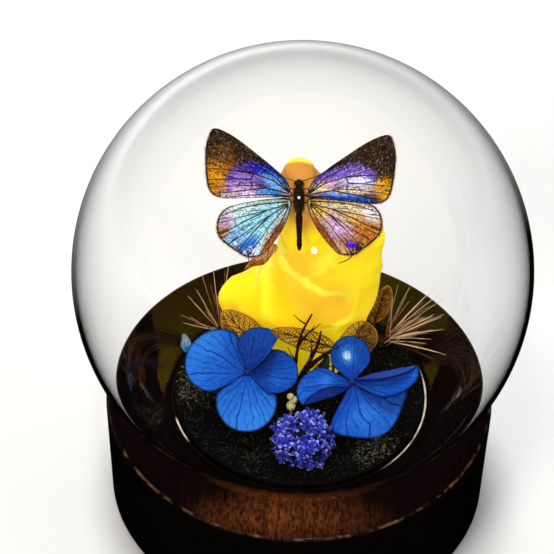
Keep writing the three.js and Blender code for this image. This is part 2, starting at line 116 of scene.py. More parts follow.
def layPatches(tree, vector, baseColour, patches):
    # soft-edged ovals of colour laid one over the other on a plane
    colour = None
    for x, y, halfLength, halfWidth, turn, shade, softness in patches:
        spot = addNode(tree, "Mapping", {
            "vector_type": "TEXTURE", "Location": (x, y, 0), "Rotation": (0, 0, math.radians(turn)),
            "Scale": (halfLength, halfWidth, 1)}, {"Vector": vector})
        reach = addNode(tree, "VectorMath", {"operation": "LENGTH"}, {0: spot})
        mask = addNode(tree, "MapRange", {
            "interpolation_type": "SMOOTHSTEP", "From Min": 1 + softness, "From Max": 1 - softness},
            {"Value": reach})
        mix = addNode(tree, "Mix",
                      {"data_type": "RGBA", mixFirst: linear(baseColour), mixSecond: linear(shade)},
                      {mixFactor: mask})
        if colour is not None:
            tree.links.new(colour, mix.inputs[mixFirst])
        colour = mix.outputs[mixColour]
    return colour


def makePiece(name, points, faces, materials, node, slot, marks=None, faceMaterials=None, sharp=None):
    # a mesh in millimetres made into a piece that stands for a CAD node
    mesh = bpy.data.meshes.new(name)
    mesh.from_pydata([Vector(p) * mm for p in points], [], faces)
    for markName, values in (marks or {}).items():
        kind = "FLOAT_VECTOR" if np.ndim(values) == 2 else "FLOAT"
        layer = mesh.attributes.new(markName, kind, "POINT")
        field = "vector" if kind == "FLOAT_VECTOR" else "value"
        layer.data.foreach_set(field, np.asarray(values, np.float32).ravel())
    for material in materials:
        mesh.materials.append(material)
    if faceMaterials is not None:
        mesh.polygons.foreach_set("material_index", faceMaterials)
    mesh.polygons.foreach_set("use_smooth", [True] * len(mesh.polygons))
    mesh.validate()
    mesh.update()
    if sharp:
        mesh.set_sharp_from_angle(angle=math.radians(sharp))
    piece = bpy.data.objects.new(name, mesh)
    bpy.context.scene.collection.objects.link(piece)
    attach(piece, "root")
    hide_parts(node)
    return piece


class MeshPile:
    # gathers many small shapes into one mesh, each with its own marks
    def __init__(self):
        self.points, self.faces, self.faceMaterials, self.marks = [], [], [], {}

    def add(self, points, faces, materialIndex=0, **marks):
        start = len(self.points)
        self.points += [Vector(p) for p in points]
        self.faces += [[start + i for i in face] for face in faces]
        self.faceMaterials += [materialIndex] * len(faces)
        for key, values in marks.items():
            if np.ndim(values) == 0:
                values = [values] * len(points)
            self.marks.setdefault(key, []).extend(values)


def lathe(profile, segments):
    # turned shape from (radius, height); points on the axis are not repeated
    points, rows, faces = [], [], []
    for radius, height in profile:
        if radius < 1e-6:
            rows.append([len(points)] * segments)
            points.append(Vector((0, 0, height)))
            continue
        rows.append(list(range(len(points), len(points) + segments)))
        for k in range(segments):
            angle = 2 * math.pi * k / segments
            points.append(Vector((radius * math.cos(angle), radius * math.sin(angle), height)))
    for low, high in zip(rows, rows[1:]):
        for k in range(segments):
            ring = [low[k], low[(k + 1) % segments], high[(k + 1) % segments], high[k]]
            corner = list(dict.fromkeys(ring))
            if len(corner) > 2:
                faces.append(corner)
    return points, faces


def ballProfile(radius, steps):
    return [(radius * math.sin(math.pi * k / steps), -radius * math.cos(math.pi * k / steps))
            for k in range(steps + 1)]


def spline(points, perSpan, closed=False):
    # smooth line through all the points
    points = [Vector(p) for p in points]
    count = len(points)
    line = []
    for i in range(count if closed else count - 1):
        if closed:
            a, b, c, d = (points[(i + k) % count] for k in (-1, 0, 1, 2))
        else:
            a, b, c, d = (points[min(max(i + k, 0), count - 1)] for k in (-1, 0, 1, 2))
        for step in range(perSpan):
            t = step / perSpan
            line.append(0.5 * (2 * b + (c - a) * t + (2 * a - 5 * b + 4 * c - d) * t * t
                               + (3 * b - a - 3 * c + d) * t ** 3))
    if not closed:
        line.append(points[-1])
    return line


def tube(line, radiusAt, sides=6, flatten=1.0, face=None):
    # round or flattened shoot along a line, closed at both ends
    points, faces = [], []
    count = len(line)
    normal = Vector(face) if face is not None else None
    for i, middle in enumerate(line):
        along = (line[min(i + 1, count - 1)] - line[max(i - 1, 0)]).normalized()
        if normal is None:
            normal = along.orthogonal().normalized()
        normal = (normal - along * normal.dot(along)).normalized()
        across = along.cross(normal)
        radius = radiusAt(i / (count - 1))
        for k in range(sides):
            angle = 2 * math.pi * k / sides
            sideways, outward = radius * math.cos(angle), radius * flatten * math.sin(angle)
            points.append(middle + across * sideways + normal * outward)
    for i in range(count - 1):
        for k in range(sides):
            a, b = i * sides + k, i * sides + (k + 1) % sides
            faces.append([a, b, b + sides, a + sides])
    faces.append(list(range(sides))[::-1])
    faces.append(list(range((count - 1) * sides, count * sides)))
    return points, faces


def discPlaces(steps):
    # a square grid pressed into a disc: places across and along a leaf, each from -1 to 1
    places = []
    for j in range(steps + 1):
        for i in range(steps + 1):
            u, v = 2 * i / steps - 1, 2 * j / steps - 1
            places.append((u * math.sqrt(1 - v * v / 2), v * math.sqrt(1 - u * u / 2)))
    return places


def sheetMesh(pointAt, steps, thickness):
    # thin closed sheet over a disc, with the place on it as a mark
    nudge = 1e-3
    places = discPlaces(steps)
    upper, lower = [], []
    for a, b in places:
        across = pointAt(a + nudge, b) - pointAt(a - nudge, b)
        along = pointAt(a, b + nudge) - pointAt(a, b - nudge)
        normal = across.cross(along).normalized() * (thickness / 2)
        middle = pointAt(a, b)
        upper.append(middle + normal)
        lower.append(middle - normal)
    row, count = steps + 1, len(places)
    faces = []
    for j in range(steps):
        for i in range(steps):
            a, b, c, d = j * row + i, j * row + i + 1, (j + 1) * row + i + 1, (j + 1) * row + i
            faces += [[a, b, c, d], [count + d, count + c, count + b, count + a]]
    rim = list(range(steps)) + [k * row + steps for k in range(steps)]
    rim += [steps * row + k for k in range(steps, 0, -1)] + [k * row for k in range(steps, 0, -1)]
    for here, there in zip(rim, rim[1:] + rim[:1]):
        faces.append([there, here, count + here, count + there])
    blade = [(a, b, 1) for a, b in places] + [(a, b, -1) for a, b in places]
    return upper + lower, faces, blade


print("stage: camera, light and floor")

globe = {"radius": 50, "wall": 0.9, "centreHeight": 67.3, "rimHeight": 26.3}
globeMiddle = Vector((0, 0, globe["centreHeight"]))

# the photograph's view: how steeply it looks down, its roll,
# and where the globe's middle falls in the frame
view = {"elevation": 46.6, "roll": 1.67, "distance": 1150, "lens": 345.9, "sensor": 36,
        "frame": 554, "globePixel": (302.7, 271.5)}


def makeCamera():
    steep, roll = math.radians(view["elevation"]), math.radians(view["roll"])
    forward = Vector((0, math.cos(steep), -math.sin(steep)))
    upright = Vector((0, math.sin(steep), math.cos(steep)))
    right = math.cos(roll) * Vector((1, 0, 0)) + math.sin(roll) * upright
    up = right.cross(forward)
    place = globeMiddle - view["distance"] * forward
    perPixel = view["distance"] * view["sensor"] / (view["lens"] * view["frame"])
    offset = [pixel - view["frame"] / 2 for pixel in view["globePixel"]]
    target = globeMiddle - right * (offset[0] * perPixel) + up * (offset[1] * perPixel)
    forward = (target - place).normalized()
    right = (right - forward * right.dot(forward)).normalized()
    up = right.cross(forward)
    data = bpy.data.cameras.new("camera")
    data.lens, data.sensor_width = view["lens"], view["sensor"]
    data.clip_start, data.clip_end = 0.01, 20
    camera = bpy.data.objects.new("camera", data)
    turn = Matrix((right, up, -forward)).transposed().to_4x4()
    camera.matrix_world = Matrix.Translation(place * mm) @ turn
    bpy.context.scene.collection.objects.link(camera)
    bpy.context.scene.camera = camera


makeCamera()
bpy.context.scene.view_settings.view_transform = "Standard"

# soft lights: place, width and height, strength in watts; only the window glints in glass
lights = {
    "topSoftbox": {"place": (-60, 260, 1060), "size": (520, 520), "watts": 9.6, "colour": "#ffffff",
                   "glint": False},
    "frontFill": {"place": (-240, -420, 460), "size": (240, 240), "watts": 1.7, "colour": "#fff6ec",
                  "glint": False},
    "sideStrip": {"place": (380, -60, 300), "size": (40, 300), "watts": 0.5, "colour": "#f2f6ff",
                  "glint": False},
    "backStrip": {"place": (-190, 430, 170), "size": (420, 50), "watts": 1.0, "colour": "#ffffff",
                  "glint": False},
    "window": {"place": (70, -430, 720), "size": (36, 36), "watts": 0.5, "colour": "#ffffff",
               "glint": True},
}
worldLook = {"colour": "#fbfdff", "strength": 0.12}


def makeLights():
    for name, look in lights.items():
        data = bpy.data.lights.new(name, "AREA")
        data.shape = "ELLIPSE"
        data.size, data.size_y = (side * mm for side in look["size"])
        data.energy, data.color = look["watts"], linear(look["colour"])[:3]
        lamp = bpy.data.objects.new(name, data)
        lamp.location = Vector(look["place"]) * mm
        aim = globeMiddle * mm - lamp.location
        lamp.rotation_euler = aim.to_track_quat("-Z", "Y").to_euler()
        lamp.visible_glossy = look["glint"]
        lamp.visible_camera = False
        lamp.visible_transmission = False   # no ghosts of the lights between the glass's two faces
        bpy.context.scene.collection.objects.link(lamp)
    world = bpy.data.worlds.new("studio")
    world.use_nodes = True
    tree = world.node_tree
    background = tree.nodes["Background"]
    background.inputs["Color"].default_value = linear(worldLook["colour"])
    # the room stays dark in whatever mirrors it, also behind the glass's first face
    path = addNode(tree, "LightPath")
    seen = addNode(tree, "Math", {"operation": "LESS_THAN", 1: 0.5}, {0: path.outputs["Glossy Depth"]})
    strength = addNode(tree, "Math", {"operation": "MULTIPLY", 1: worldLook["strength"]}, {0: seen})
    tree.links.new(strength.outputs["Value"], background.inputs["Strength"])
    bpy.context.scene.world = world


makeLights()

floorLook = {"half": 8000, "colour": "#e4e4e2", "patch": "#e0e0dd", "roughness": 0.9, "patchSize": 60,
             "lightWay": (-0.32, 1, 0), "darkTo": 60, "lightFrom": 330, "lightest": 0.8}


def makeFloor():
    # matt paper: even and pale, with the faintest cloudiness
    material, tree, shader = newMaterial("mattPaper", {"Roughness": floorLook["roughness"], "IOR": 1.45})
    place = addNode(tree, "TexCoord")
    cloud = addNode(tree, "TexNoise", {"Scale": 1 / (floorLook["patchSize"] * mm)},
                    {"Vector": place.outputs["Object"]})
    ramp = addNode(tree, "ValToRGB", {"stops": [(0.3, floorLook["patch"]), (0.7, floorLook["colour"])]},
                   {"Fac": cloud})
    # glass mirrors a dark room that lightens to the back and the left, as the globe's edge shows it
    across = addNode(tree, "VectorMath", {"operation": "DOT_PRODUCT", 1: floorLook["lightWay"]},
                     {0: place.outputs["Object"]})
    dim = addNode(tree, "MapRange", {
        "From Min": floorLook["darkTo"] * mm, "From Max": floorLook["lightFrom"] * mm,
        "To Max": floorLook["lightest"]}, {"Value": across})
    path = addNode(tree, "LightPath")
    mirrored = addNode(tree, "Math", {"operation": "GREATER_THAN", 1: 0.5},
                       {0: path.outputs["Glossy Depth"]})
    seen = addNode(tree, "Mix", {"data_type": "RGBA"},
                   {mixFactor: mirrored, mixFirst: ramp, mixSecond: dim})
    tree.links.new(seen.outputs[mixColour], shader.inputs["Base Color"])
    half = floorLook["half"] * mm
    mesh = bpy.data.meshes.new("paperFloor")
    mesh.from_pydata([(-half, -half, 0), (half, -half, 0), (half, half, 0), (-half, half, 0)], [],
                     [(0, 1, 2, 3)])
    mesh.materials.append(material)
    floor = bpy.data.objects.new("paperFloor", mesh)
    bpy.context.scene.collection.objects.link(floor)


makeFloor()

print("stage: base, lamp and globe")

base = {"height": 28, "topRadius": 42.7, "bottomRadius": 41.4, "edgeRadius": 1.6, "footBevel": 0.8,
        "seatRadius": 31.4, "seatDepth": 2, "seatEdge": 0.35, "seatFillet": 0.2, "segments": 160}
seatHeight = base["height"] - base["seatDepth"]
lamp = {"x": -0.5, "y": 12.5, "radius": 8, "height": 5.4, "rimHeight": 4, "lensRadius": 6.4,
        "pocketDepth": 6, "clearance": 0.3, "footBevel": 0.4, "lensRise": 0.3, "dimpleRings": 5,
        "dimpleDepth": 0.12}
# the pores are two or three times as wide as in real wood, so that they show
# the red-brown patch on the front of the top face is painted light, and the pale edge colour is a painted
# highlight
woodLook = {"dark": "#040202", "mid": "#0a0404", "light": "#0e0604", "paintedRedLight": "#683514", "edgeHighlight": "#7c5a40",
            "grainWidth": 0.9, "grainLength": 16, "poreWidth": 0.45, "poreLength": 1.6, "roughness": 0.42,
            "varnish": 0.12, "varnishRoughness": 0.12, "paintedLightAt": (-2, -36.5, 28), "paintedLightSize": (27, 10, 1.5),
            "edgeHighlightWidth": 0.45, "edgeHighlightPatch": 5}


def stainedWood():
    # turned hardwood, stained espresso and varnished: near black, with red-brown streaks painted as light
    # where it rakes the front of the top face, and a painted highlight along the outer edge
    look = woodLook
    material, tree, shader = newMaterial("stainedHardwood", {
        "Roughness": look["roughness"], "IOR": 1.5, "Specular IOR Level": 0.1,
        "Coat Weight": look["varnish"], "Coat Roughness": look["varnishRoughness"], "Coat IOR": 1.5})
    place = addNode(tree, "TexCoord")
    stretch = addNode(tree, "Mapping", {
        "Scale": (1 / (look["grainWidth"] * mm), 1 / (look["grainLength"] * mm),
                  1 / (look["grainWidth"] * 3 * mm))},
        {"Vector": place.outputs["Object"]})
    grain = addNode(tree, "TexNoise", {"Scale": 1, "Detail": 6, "Distortion": 0.4}, {"Vector": stretch})
    fine = addNode(tree, "Mapping", {
        "Scale": (1 / (look["poreWidth"] * mm), 1 / (look["poreLength"] * mm),
                  1 / (look["poreLength"] * mm))},
        {"Vector": place.outputs["Object"]})
    pores = addNode(tree, "TexNoise", {"Scale": 1, "Detail": 2}, {"Vector": fine})
    both = addNode(tree, "Math", {"operation": "MULTIPLY_ADD", 1: 0.45}, {0: pores, 2: grain})
    colour = addNode(tree, "ValToRGB", {
        "stops": [(0.5, look["dark"]), (0.72, look["mid"]), (0.95, look["light"])]}, {"Fac": both})
    # painted light: red-brown streaks on the front of the top face, where the light rakes it
    front = addNode(tree, "Mapping", {
        "vector_type": "TEXTURE", "Location": Vector(look["paintedLightAt"]) * mm,
        "Scale": Vector(look["paintedLightSize"]) * mm},
        {"Vector": place.outputs["Object"]})
    reach = addNode(tree, "VectorMath", {"operation": "LENGTH"}, {0: front})
    thin = addNode(tree, "MapRange", {
        "interpolation_type": "SMOOTHSTEP", "From Min": 1.0, "From Max": 0.05}, {"Value": reach})
    streak = addNode(tree, "MapRange", {"From Min": 0.3, "From Max": 0.95}, {"Value": both})
    fleck = addNode(tree, "MapRange", {"From Min": 0.36, "From Max": 0.62, "To Min": 0.25},
                    {"Value": pores})
    flecked = addNode(tree, "Math", {"operation": "MULTIPLY"}, {0: fleck, 1: streak})
    paintedLightMask = addNode(tree, "Math", {"operation": "MULTIPLY"}, {0: thin, 1: flecked})
    stainAndPaintedLight = addNode(tree, "Mix", {"data_type": "RGBA", mixSecond: linear(look["paintedRedLight"])},
                      {mixFactor: paintedLightMask, mixFirst: colour})
    # a painted highlight along the round outer edge, broken here and there
    parts = addNode(tree, "SeparateXYZ", {}, {"Vector": place.outputs["Object"]})
    level = addNode(tree, "VectorMath", {"operation": "MULTIPLY", 1: (1, 1, 0)},
                    {0: place.outputs["Object"]})
    radial = addNode(tree, "VectorMath", {"operation": "LENGTH"}, {0: level})
    section = addNode(tree, "CombineXYZ", {}, {"X": radial, "Y": parts.outputs["Z"]})
    inset = base["edgeRadius"] * (1 - math.sqrt(0.5))
    corner = Vector((base["topRadius"] - inset, base["height"] - inset, 0)) * mm
    away = addNode(tree, "VectorMath", {"operation": "DISTANCE", 1: corner}, {0: section})
    edgeHighlightBand = addNode(tree, "MapRange", {"From Min": look["edgeHighlightWidth"] * mm, "From Max": 0.0}, {"Value": away})
    patchy = addNode(tree, "TexNoise",
                     {"Scale": 1 / (look["edgeHighlightPatch"] * mm), "Detail": 6, "Roughness": 0.7},
                     {"Vector": place.outputs["Object"]})
    gaps = addNode(tree, "MapRange", {"From Min": 0.48, "From Max": 0.66}, {"Value": patchy})
    edgeHighlightMask = addNode(tree, "Math", {"operation": "MULTIPLY"}, {0: edgeHighlightBand, 1: gaps})
    edgeHighlight = addNode(tree, "Mix", {"data_type": "RGBA", mixSecond: linear(look["edgeHighlight"])},
                     {mixFactor: edgeHighlightMask, mixFirst: stainAndPaintedLight})
    tree.links.new(edgeHighlight.outputs[mixColour], shader.inputs["Base Color"])
    bumpFrom(tree, shader, pores, distance=0.05, strength=0.25)
    return material


def cutFrom(piece, points, faces):
    # takes a closed shape out of a piece and keeps the result as its mesh
    mesh = bpy.data.meshes.new("cutter")
    mesh.from_pydata([Vector(p) * mm for p in points], [], faces)
    cutter = bpy.data.objects.new("cutter", mesh)
    bpy.context.scene.collection.objects.link(cutter)
    modifier = piece.modifiers.new("cut", "BOOLEAN")
    modifier.object, modifier.operation, modifier.solver = cutter, "DIFFERENCE", "EXACT"
    bpy.context.view_layer.update()
    depsgraph = bpy.context.evaluated_depsgraph_get()
    cutMesh = bpy.data.meshes.new_from_object(piece.evaluated_get(depsgraph))
    piece.modifiers.clear()
    piece.data = cutMesh
    bpy.data.objects.remove(cutter)


def makeBase():
    top, edge, height = base["topRadius"] - base["edgeRadius"], base["edgeRadius"], base["height"]
    foot, bevel, seat = base["bottomRadius"], base["footBevel"], base["seatRadius"]
    seatEdge, fillet = base["seatEdge"], base["seatFillet"]
    profile = [(0, 0), (foot - 2.6, 0), (foot - bevel, 0.12), (foot - 0.2, 0.3),
               (foot, bevel)]   # softened foot
    for step in range(1, 8):   # the side leans out a little towards the top
        part = step / 8
        profile.append((foot + part * (base["topRadius"] - foot), bevel + part * (height - edge - bevel)))
    for step in range(9):
        angle = math.pi / 2 * step / 8
        profile.append((top + edge * math.cos(angle), height - edge + edge * math.sin(angle)))
    profile += [(seat + 6, height), (seat + seatEdge, height), (seat, height - seatEdge)]
    profile += [(seat, seatHeight + fillet), (seat - fillet, seatHeight), (0, seatHeight)]
    points, faces = lathe(profile, base["segments"])
    piece = makePiece("turnedBase", points, faces, [stainedWood()], "wooden_base", "dark_wood")
    bore = lamp["radius"] + lamp["clearance"]
    middle = Vector((lamp["x"], lamp["y"], seatHeight))
    depth = lamp["pocketDepth"]
    ring = [(0, -depth), (bore, -depth), (bore, depth), (0, depth)]
    pocketPoints, pocketFaces = lathe(ring, 64)
    cutFrom(piece, [p + middle for p in pocketPoints], pocketFaces)
    piece.data.set_sharp_from_angle(angle=math.radians(32))


makeBase()

lampLook = {"lens": "#fff0c0", "glow": "#ffd27a", "strength": 2.5, "dimpleSize": 1.5}


def makeLamp():
    # moulded polycarbonate lens: warm and milky, with a dimpled face
    material = fleckedMaterial(
        "milkyPolycarbonate", {"Roughness": 0.35, "IOR": 1.58, "Emission Strength": lampLook["strength"],
                               "Emission Color": linear(lampLook["glow"])},
        lampLook["dimpleSize"], [(0, lampLook["lens"]), (0.6, lampLook["glow"])],
        kind="TexVoronoi", detail=0, bump=0.3)
    radius, lens, rim, rise = lamp["radius"], lamp["lensRadius"], lamp["rimHeight"], lamp["lensRise"]
    profile = [(0, 0), (radius - lamp["footBevel"], 0), (radius, lamp["footBevel"]), (radius, rim)]
    for step in range(1, 9):
        part = step / 9
        profile.append((radius - (radius - lens) * part,
                        rim + (lamp["height"] - rise - rim) * math.sin(part * math.pi / 2)))
    for step in range(9):
        part = step / 8
        dimple = lamp["dimpleDepth"] * math.sin(part * math.pi * lamp["dimpleRings"]) ** 2
        profile.append((lens * (1 - part), lamp["height"] - rise * (1 - part) ** 2 - dimple))
    points, faces = lathe(profile, 64)
    foot = Vector((lamp["x"], lamp["y"], seatHeight - lamp["pocketDepth"] + lamp["clearance"]))
    makePiece("lampLens", [p + foot for p in points], faces, [material], "led_lamp", "lamp", sharp=40)


makeLamp()

# drawn a little below glass's own 1.5, so that the room mirrored in four faces stays faint
# the lip's light colour and its arcs are a painted highlight
glassLook = {"clear": "#ffffff", "ior": 1.36, "segments": 160, "steps": 80, "smoke": "#8c8f92",
             "density": 11, "lipTop": 26.95, "lipDark": "#15120e", "lipPaintedHighlight": "#f6ecd2",
             "paintedArcs": [(-13, 38), (-157, 9)], "lipRipple": 2.5}


def lipMaterial():
    # flame-polished lip: two bright arcs of painted highlight, uneven along their length, dark elsewhere
    material, tree, shader = newMaterial("lipWithPaintedArcs", {"Roughness": 0.25, "IOR": 1.45})
    place = addNode(tree, "TexCoord")
    parts = addNode(tree, "SeparateXYZ", {}, {"Vector": place.outputs["Object"]})
    bearing = addNode(tree, "Math", {"operation": "ARCTAN2"},
                      {0: parts.outputs["Y"], 1: parts.outputs["X"]})
    ripple = addNode(tree, "TexNoise", {"Scale": 1 / (glassLook["lipRipple"] * mm), "Detail": 3},
                     {"Vector": place.outputs["Object"]})
    light = None
    for middle, half in glassLook["paintedArcs"]:
        apart = addNode(tree, "Math", {"operation": "SUBTRACT", 1: math.radians(middle)}, {0: bearing})
        apart = addNode(tree, "Math", {"operation": "ABSOLUTE"}, {0: apart})
        nearPaintedArc = addNode(tree, "MapRange", {
            "interpolation_type": "SMOOTHSTEP", "From Min": math.radians(half),
            "From Max": math.radians(half * 0.5)},
            {"Value": apart})
        light = nearPaintedArc if light is None else addNode(tree, "Math", {"operation": "MAXIMUM"},
                                                   {0: light, 1: nearPaintedArc})
    uneven = addNode(tree, "MapRange", {"From Min": 0.3, "From Max": 0.6, "To Min": 0.25},
                     {"Value": ripple})
    amount = addNode(tree, "Math", {"operation": "MULTIPLY"}, {0: light, 1: uneven})
    colour = addNode(tree, "ValToRGB", {
        "stops": [(0.0, glassLook["lipDark"]), (1.0, glassLook["lipPaintedHighlight"])]}, {"Fac": amount})
    tree.links.new(colour.outputs["Color"], shader.inputs["Base Color"])
    return material


def makeGlobe():
    # blown soda glass: clear, thin, with a flame-polished lip where it stands, its bright arcs a painted
    # highlight
    material, tree, shader = newMaterial("blownGlass", {
        "Base Color": linear(glassLook["clear"]), "Roughness": 0.0, "IOR": glassLook["ior"],
        "Transmission Weight": 1.0})
    smoke = addNode(tree, "VolumeAbsorption", {
        "Color": linear(glassLook["smoke"]), "Density": glassLook["density"]})
    tree.links.new(smoke.outputs["Volume"], tree.nodes["Material Output"].inputs["Volume"])
    outer, inner = globe["radius"], globe["radius"] - globe["wall"]
    lip = globe["wall"] / 2
    middle = (outer + inner) / 2
    end = math.acos((globe["rimHeight"] + lip - globe["centreHeight"]) / middle)

    def arc(radius, steps):
        return [(radius * math.sin(end * k / steps),
                 globe["centreHeight"] + radius * math.cos(end * k / steps))
                for k in range(steps + 1)]
    outside, inside = arc(outer, glassLook["steps"]), arc(inner, glassLook["steps"])
    rounded = []
    for step in range(1, 8):   # half round lip from the outside to the inside
        angle = math.pi * step / 8
        radial = Vector((math.sin(end), math.cos(end)))
        tangent = Vector((math.cos(end), -math.sin(end)))
        spot = radial * (middle + lip * math.cos(angle)) + tangent * (lip * math.sin(angle))
        rounded.append((spot.x, globe["centreHeight"] + spot.y))
    points, faces = lathe(outside + rounded + inside[::-1], glassLook["segments"])
    lipFaces = [int(all(points[i].z < glassLook["lipTop"] for i in face)) for face in faces]
    piece = makePiece("blownGlobe", points, [face[::-1] for face in faces], [material, lipMaterial()],
                      "glass_globe", "clear_glass", faceMaterials=lipFaces)
    piece.visible_shadow = False   # thin clear glass hardly shades what is in it


makeGlobe()

print("stage: moss and stone")

moss = {"rimRadius": 25.9, "waistRadius": 28, "waistHeight": 28.3, "topHeight": 29.8, "lump": 0.4,
        "crumbs": 0.35, "bedRadius": 27.2, "bladesTo": 27.0, "slopeFrom": 24.5, "slopeWidth": 2.7,
        "slopeDrop": 1.0, "blades": 15000, "bladeLength": (0.5, 1.35), "bladeWidth": 0.13}
stoneHollow = {"x": -0.5, "y": 12.5, "halfWidth": 13.2, "halfDepth": 10.4}
mossLook = {"black": "#0b0b08", "olive": "#5e6054", "gold": "#9c9270", "roughness": 0.9, "crumbSize": 0.5}


def mossTop(x, y):
    crossed = math.sin(0.55 * x + 1) * math.cos(0.5 * y)
    return moss["topHeight"] + moss["lump"] * (crossed + math.sin(0.9 * x - 0.7 * y) / 2)


def mossMaterial():
    # dry black moss: matt crumbs that swallow light, here and there an olive or golden leaflet
    return fleckedMaterial(
        "dryMoss", {"Roughness": mossLook["roughness"], "Specular IOR Level": 0.2}, mossLook["crumbSize"],
        [(0.35, mossLook["black"]), (0.8, mossLook["olive"]), (1.0, mossLook["gold"])],
        mark="shade", share=0.35, bump=0.3)


def insideHollow(x, y, grow=1.0):
    across, deep = stoneHollow["halfWidth"] * grow, stoneHollow["halfDepth"] * grow
    return ((x - stoneHollow["x"]) / across) ** 2 + ((y - stoneHollow["y"]) / deep) ** 2 < 1


# where the moss is lighter: middle, radius and how light
mossTints = [(-23, 0, 8, 1.0), (0, -9, 5, 0.5), (18.5, -17.5, 8, 1.0), (-10, -17, 5, 0.25),
             (6, -8, 4, 0.35)]


def makeMoss():
    pile = MeshPile()
    bladeFaces = [[0, 1, 4], [1, 2, 4], [0, 4, 3], [4, 2, 5], [3, 4, 5], [0, 3, 2, 1],
                  [3, 5, 2]]   # a leaflet, keeled
    rings, sides = 30, 96
    points, faces = [], []
    floor = seatHeight + 0.3
    for ring in range(rings + 1):
        part = ring / rings
        radius = moss["bedRadius"] * part if part else 0.01
        for k in range(sides):
            angle = 2 * math.pi * k / sides
            x, y = radius * math.cos(angle), radius * math.sin(angle)
            height = mossTop(x, y) - moss["crumbs"] + moss["crumbs"] * noise.noise(Vector((x, y, 3)) * 0.8)
            height -= moss["slopeDrop"] * max(0, part - 0.9) / 0.1   # falls off in the last tenth
            if insideHollow(x, y):
                height = floor + moss["crumbs"]
            points.append(Vector((x, y, height)))
    edge = [(moss["waistRadius"] - 0.15, moss["waistHeight"]), (moss["rimRadius"], floor)]
    for radius, height in edge:
        for k in range(sides):
            angle = 2 * math.pi * k / sides
            points.append(Vector((radius * math.cos(angle), radius * math.sin(angle), height)))
    for row in range(rings + 2):
        for k in range(sides):
            a, b = row * sides + k, row * sides + (k + 1) % sides
            faces.append([a, a + sides, b + sides, b])
    faces.append(list(range((rings + 2) * sides, (rings + 3) * sides))[::-1])
    faces.append(list(range(sides)))
    pile.add(points, faces, shade=0.0)
    for _ in range(moss["blades"]):
        angle, radius = dice.uniform(0, 2 * math.pi), moss["bladesTo"] * math.sqrt(dice.random())
        x, y = radius * math.cos(angle), radius * math.sin(angle)
        lean = Vector((dice.gauss(0, 0.6), dice.gauss(0, 0.6), dice.uniform(0.35, 1)))
        length = dice.uniform(*moss["bladeLength"])
        width, turn = moss["bladeWidth"] * dice.uniform(0.7, 1.5), dice.uniform(0, math.pi)
        tone = dice.random() ** 3
        if insideHollow(x, y, 1.04):
            continue
        tint = max(light * max(0, 1 - math.hypot(x - tintX, y - tintY) / reach)
                   for tintX, tintY, reach, light in mossTints)
        lean.normalize()
        drop = moss["slopeDrop"] * max(0, radius - moss["slopeFrom"]) / moss["slopeWidth"]
        root = Vector((x, y, mossTop(x, y) - 0.5 - drop))   # rooted half a millimetre deep
        across = Vector((math.cos(turn), math.sin(turn), 0)).cross(lean).normalized() * width
        bend = root + lean * length * 0.55
        tip = root + lean * length + Vector((lean.x, lean.y, -0.3)) * (0.3 * length)
        fold = lean.cross(across).normalized() * (0.6 * width)
        corners = [root - across * 0.5, root + across * 0.5, bend + across, bend - across, bend + fold, tip]
        pile.add(corners, bladeFaces, shade=0.1 + 0.35 * tone + tint * (0.4 + tone))
    makePiece("mossBed", pile.points, pile.faces, [mossMaterial()], "moss_bed", "moss", marks=pile.marks)


makeMoss()

# level sections from foot to top: height, left and right edge, front and back
stoneSections = [
    (26.3, -11, 10, 4, 21), (34, -13.3, 11.7, 3.7, 21.7), (39, -16, 13.4, 3.5, 22),
    (42, -17.5, 15.1, 3.5, 22.2), (44.6, -18, 16.2, 3.5, 22.3), (46.8, -16.4, 16.8, 3.7, 22.4),
    (49.4, -10.6, 17.1, 4, 22.5), (54, -7.2, 17.3, 4.5, 22.6), (60, -5.8, 17.3, 5.7, 22.7),
    (64, -5.6, 16.9, 6.7, 22.8), (68, -5.5, 13.6, 7.9, 22.8), (72, -5.5, 9.4, 9.4, 22.6),
    (76, -5.6, 5.4, 11.2, 22.2), (79, -5.5, 2.6, 12.7, 21.7), (81.2, -5.1, 1.5, 14.3, 20.9),
    (82, -3.8, 0, 15.5, 19.3),
]
stone = {"roundness": 2.3, "lump": 0.03, "sides": 140, "perSection": 10, "ridge": 0.8, "ridgeSize": 8}
# the light in the stone as soft patches seen from the front:
# x, height, half length, half width, turn, colour, softness
stoneLook = {"yellow": "#ffdc18", "glow": 0.42, "roughness": 0.24, "cloudSize": 5, "veinSize": 7,
             "crest": "#fff24e", "crestFrom": 18.2, "crestTo": 19.6, "crestLow": 80.1, "crestHigh": 81.1,
             "wander": 5, "dimFrom": 15, "dimTo": 22, "dimmest": 0.75, "dim": "#3a1c04", "patches": [
                 (-9, 46, 10, 15, 0, "#ffd012", 0.7), (6.5, 51.5, 8, 6.5, -12, "#fcc622", 0.6),
                 (-13, 47, 4, 3.5, 20, "#fcc41a", 0.7), (0.8, 62, 5.5, 3.2, -10, "#fac822", 0.5),
                 (13.2, 59, 3.6, 10, 0, "#ffe01c", 0.7), (11, 66, 4, 4, 30, "#ffd81e", 0.7),
                 (1, 57.8, 8, 0.9, -21, "#fff04a", 0.8), (-7.6, 53, 1.5, 8, 4, "#ffe22a", 0.8),
                 (-4.5, 62, 0.8, 4.5, 32, "#fff04a", 0.8), (5, 64, 1.2, 4, -38, "#ffe83c", 0.8),
                 (3, 39.5, 12, 4.5, 0, "#ffe018", 0.7), (9, 46, 4, 1.0, 30, "#fff03c", 0.8),
                 (-2, 79, 8, 8.5, 0, "#c08236", 0.35), (-0.6, 75, 1.0, 4, -12, "#e8a848", 0.7)]}


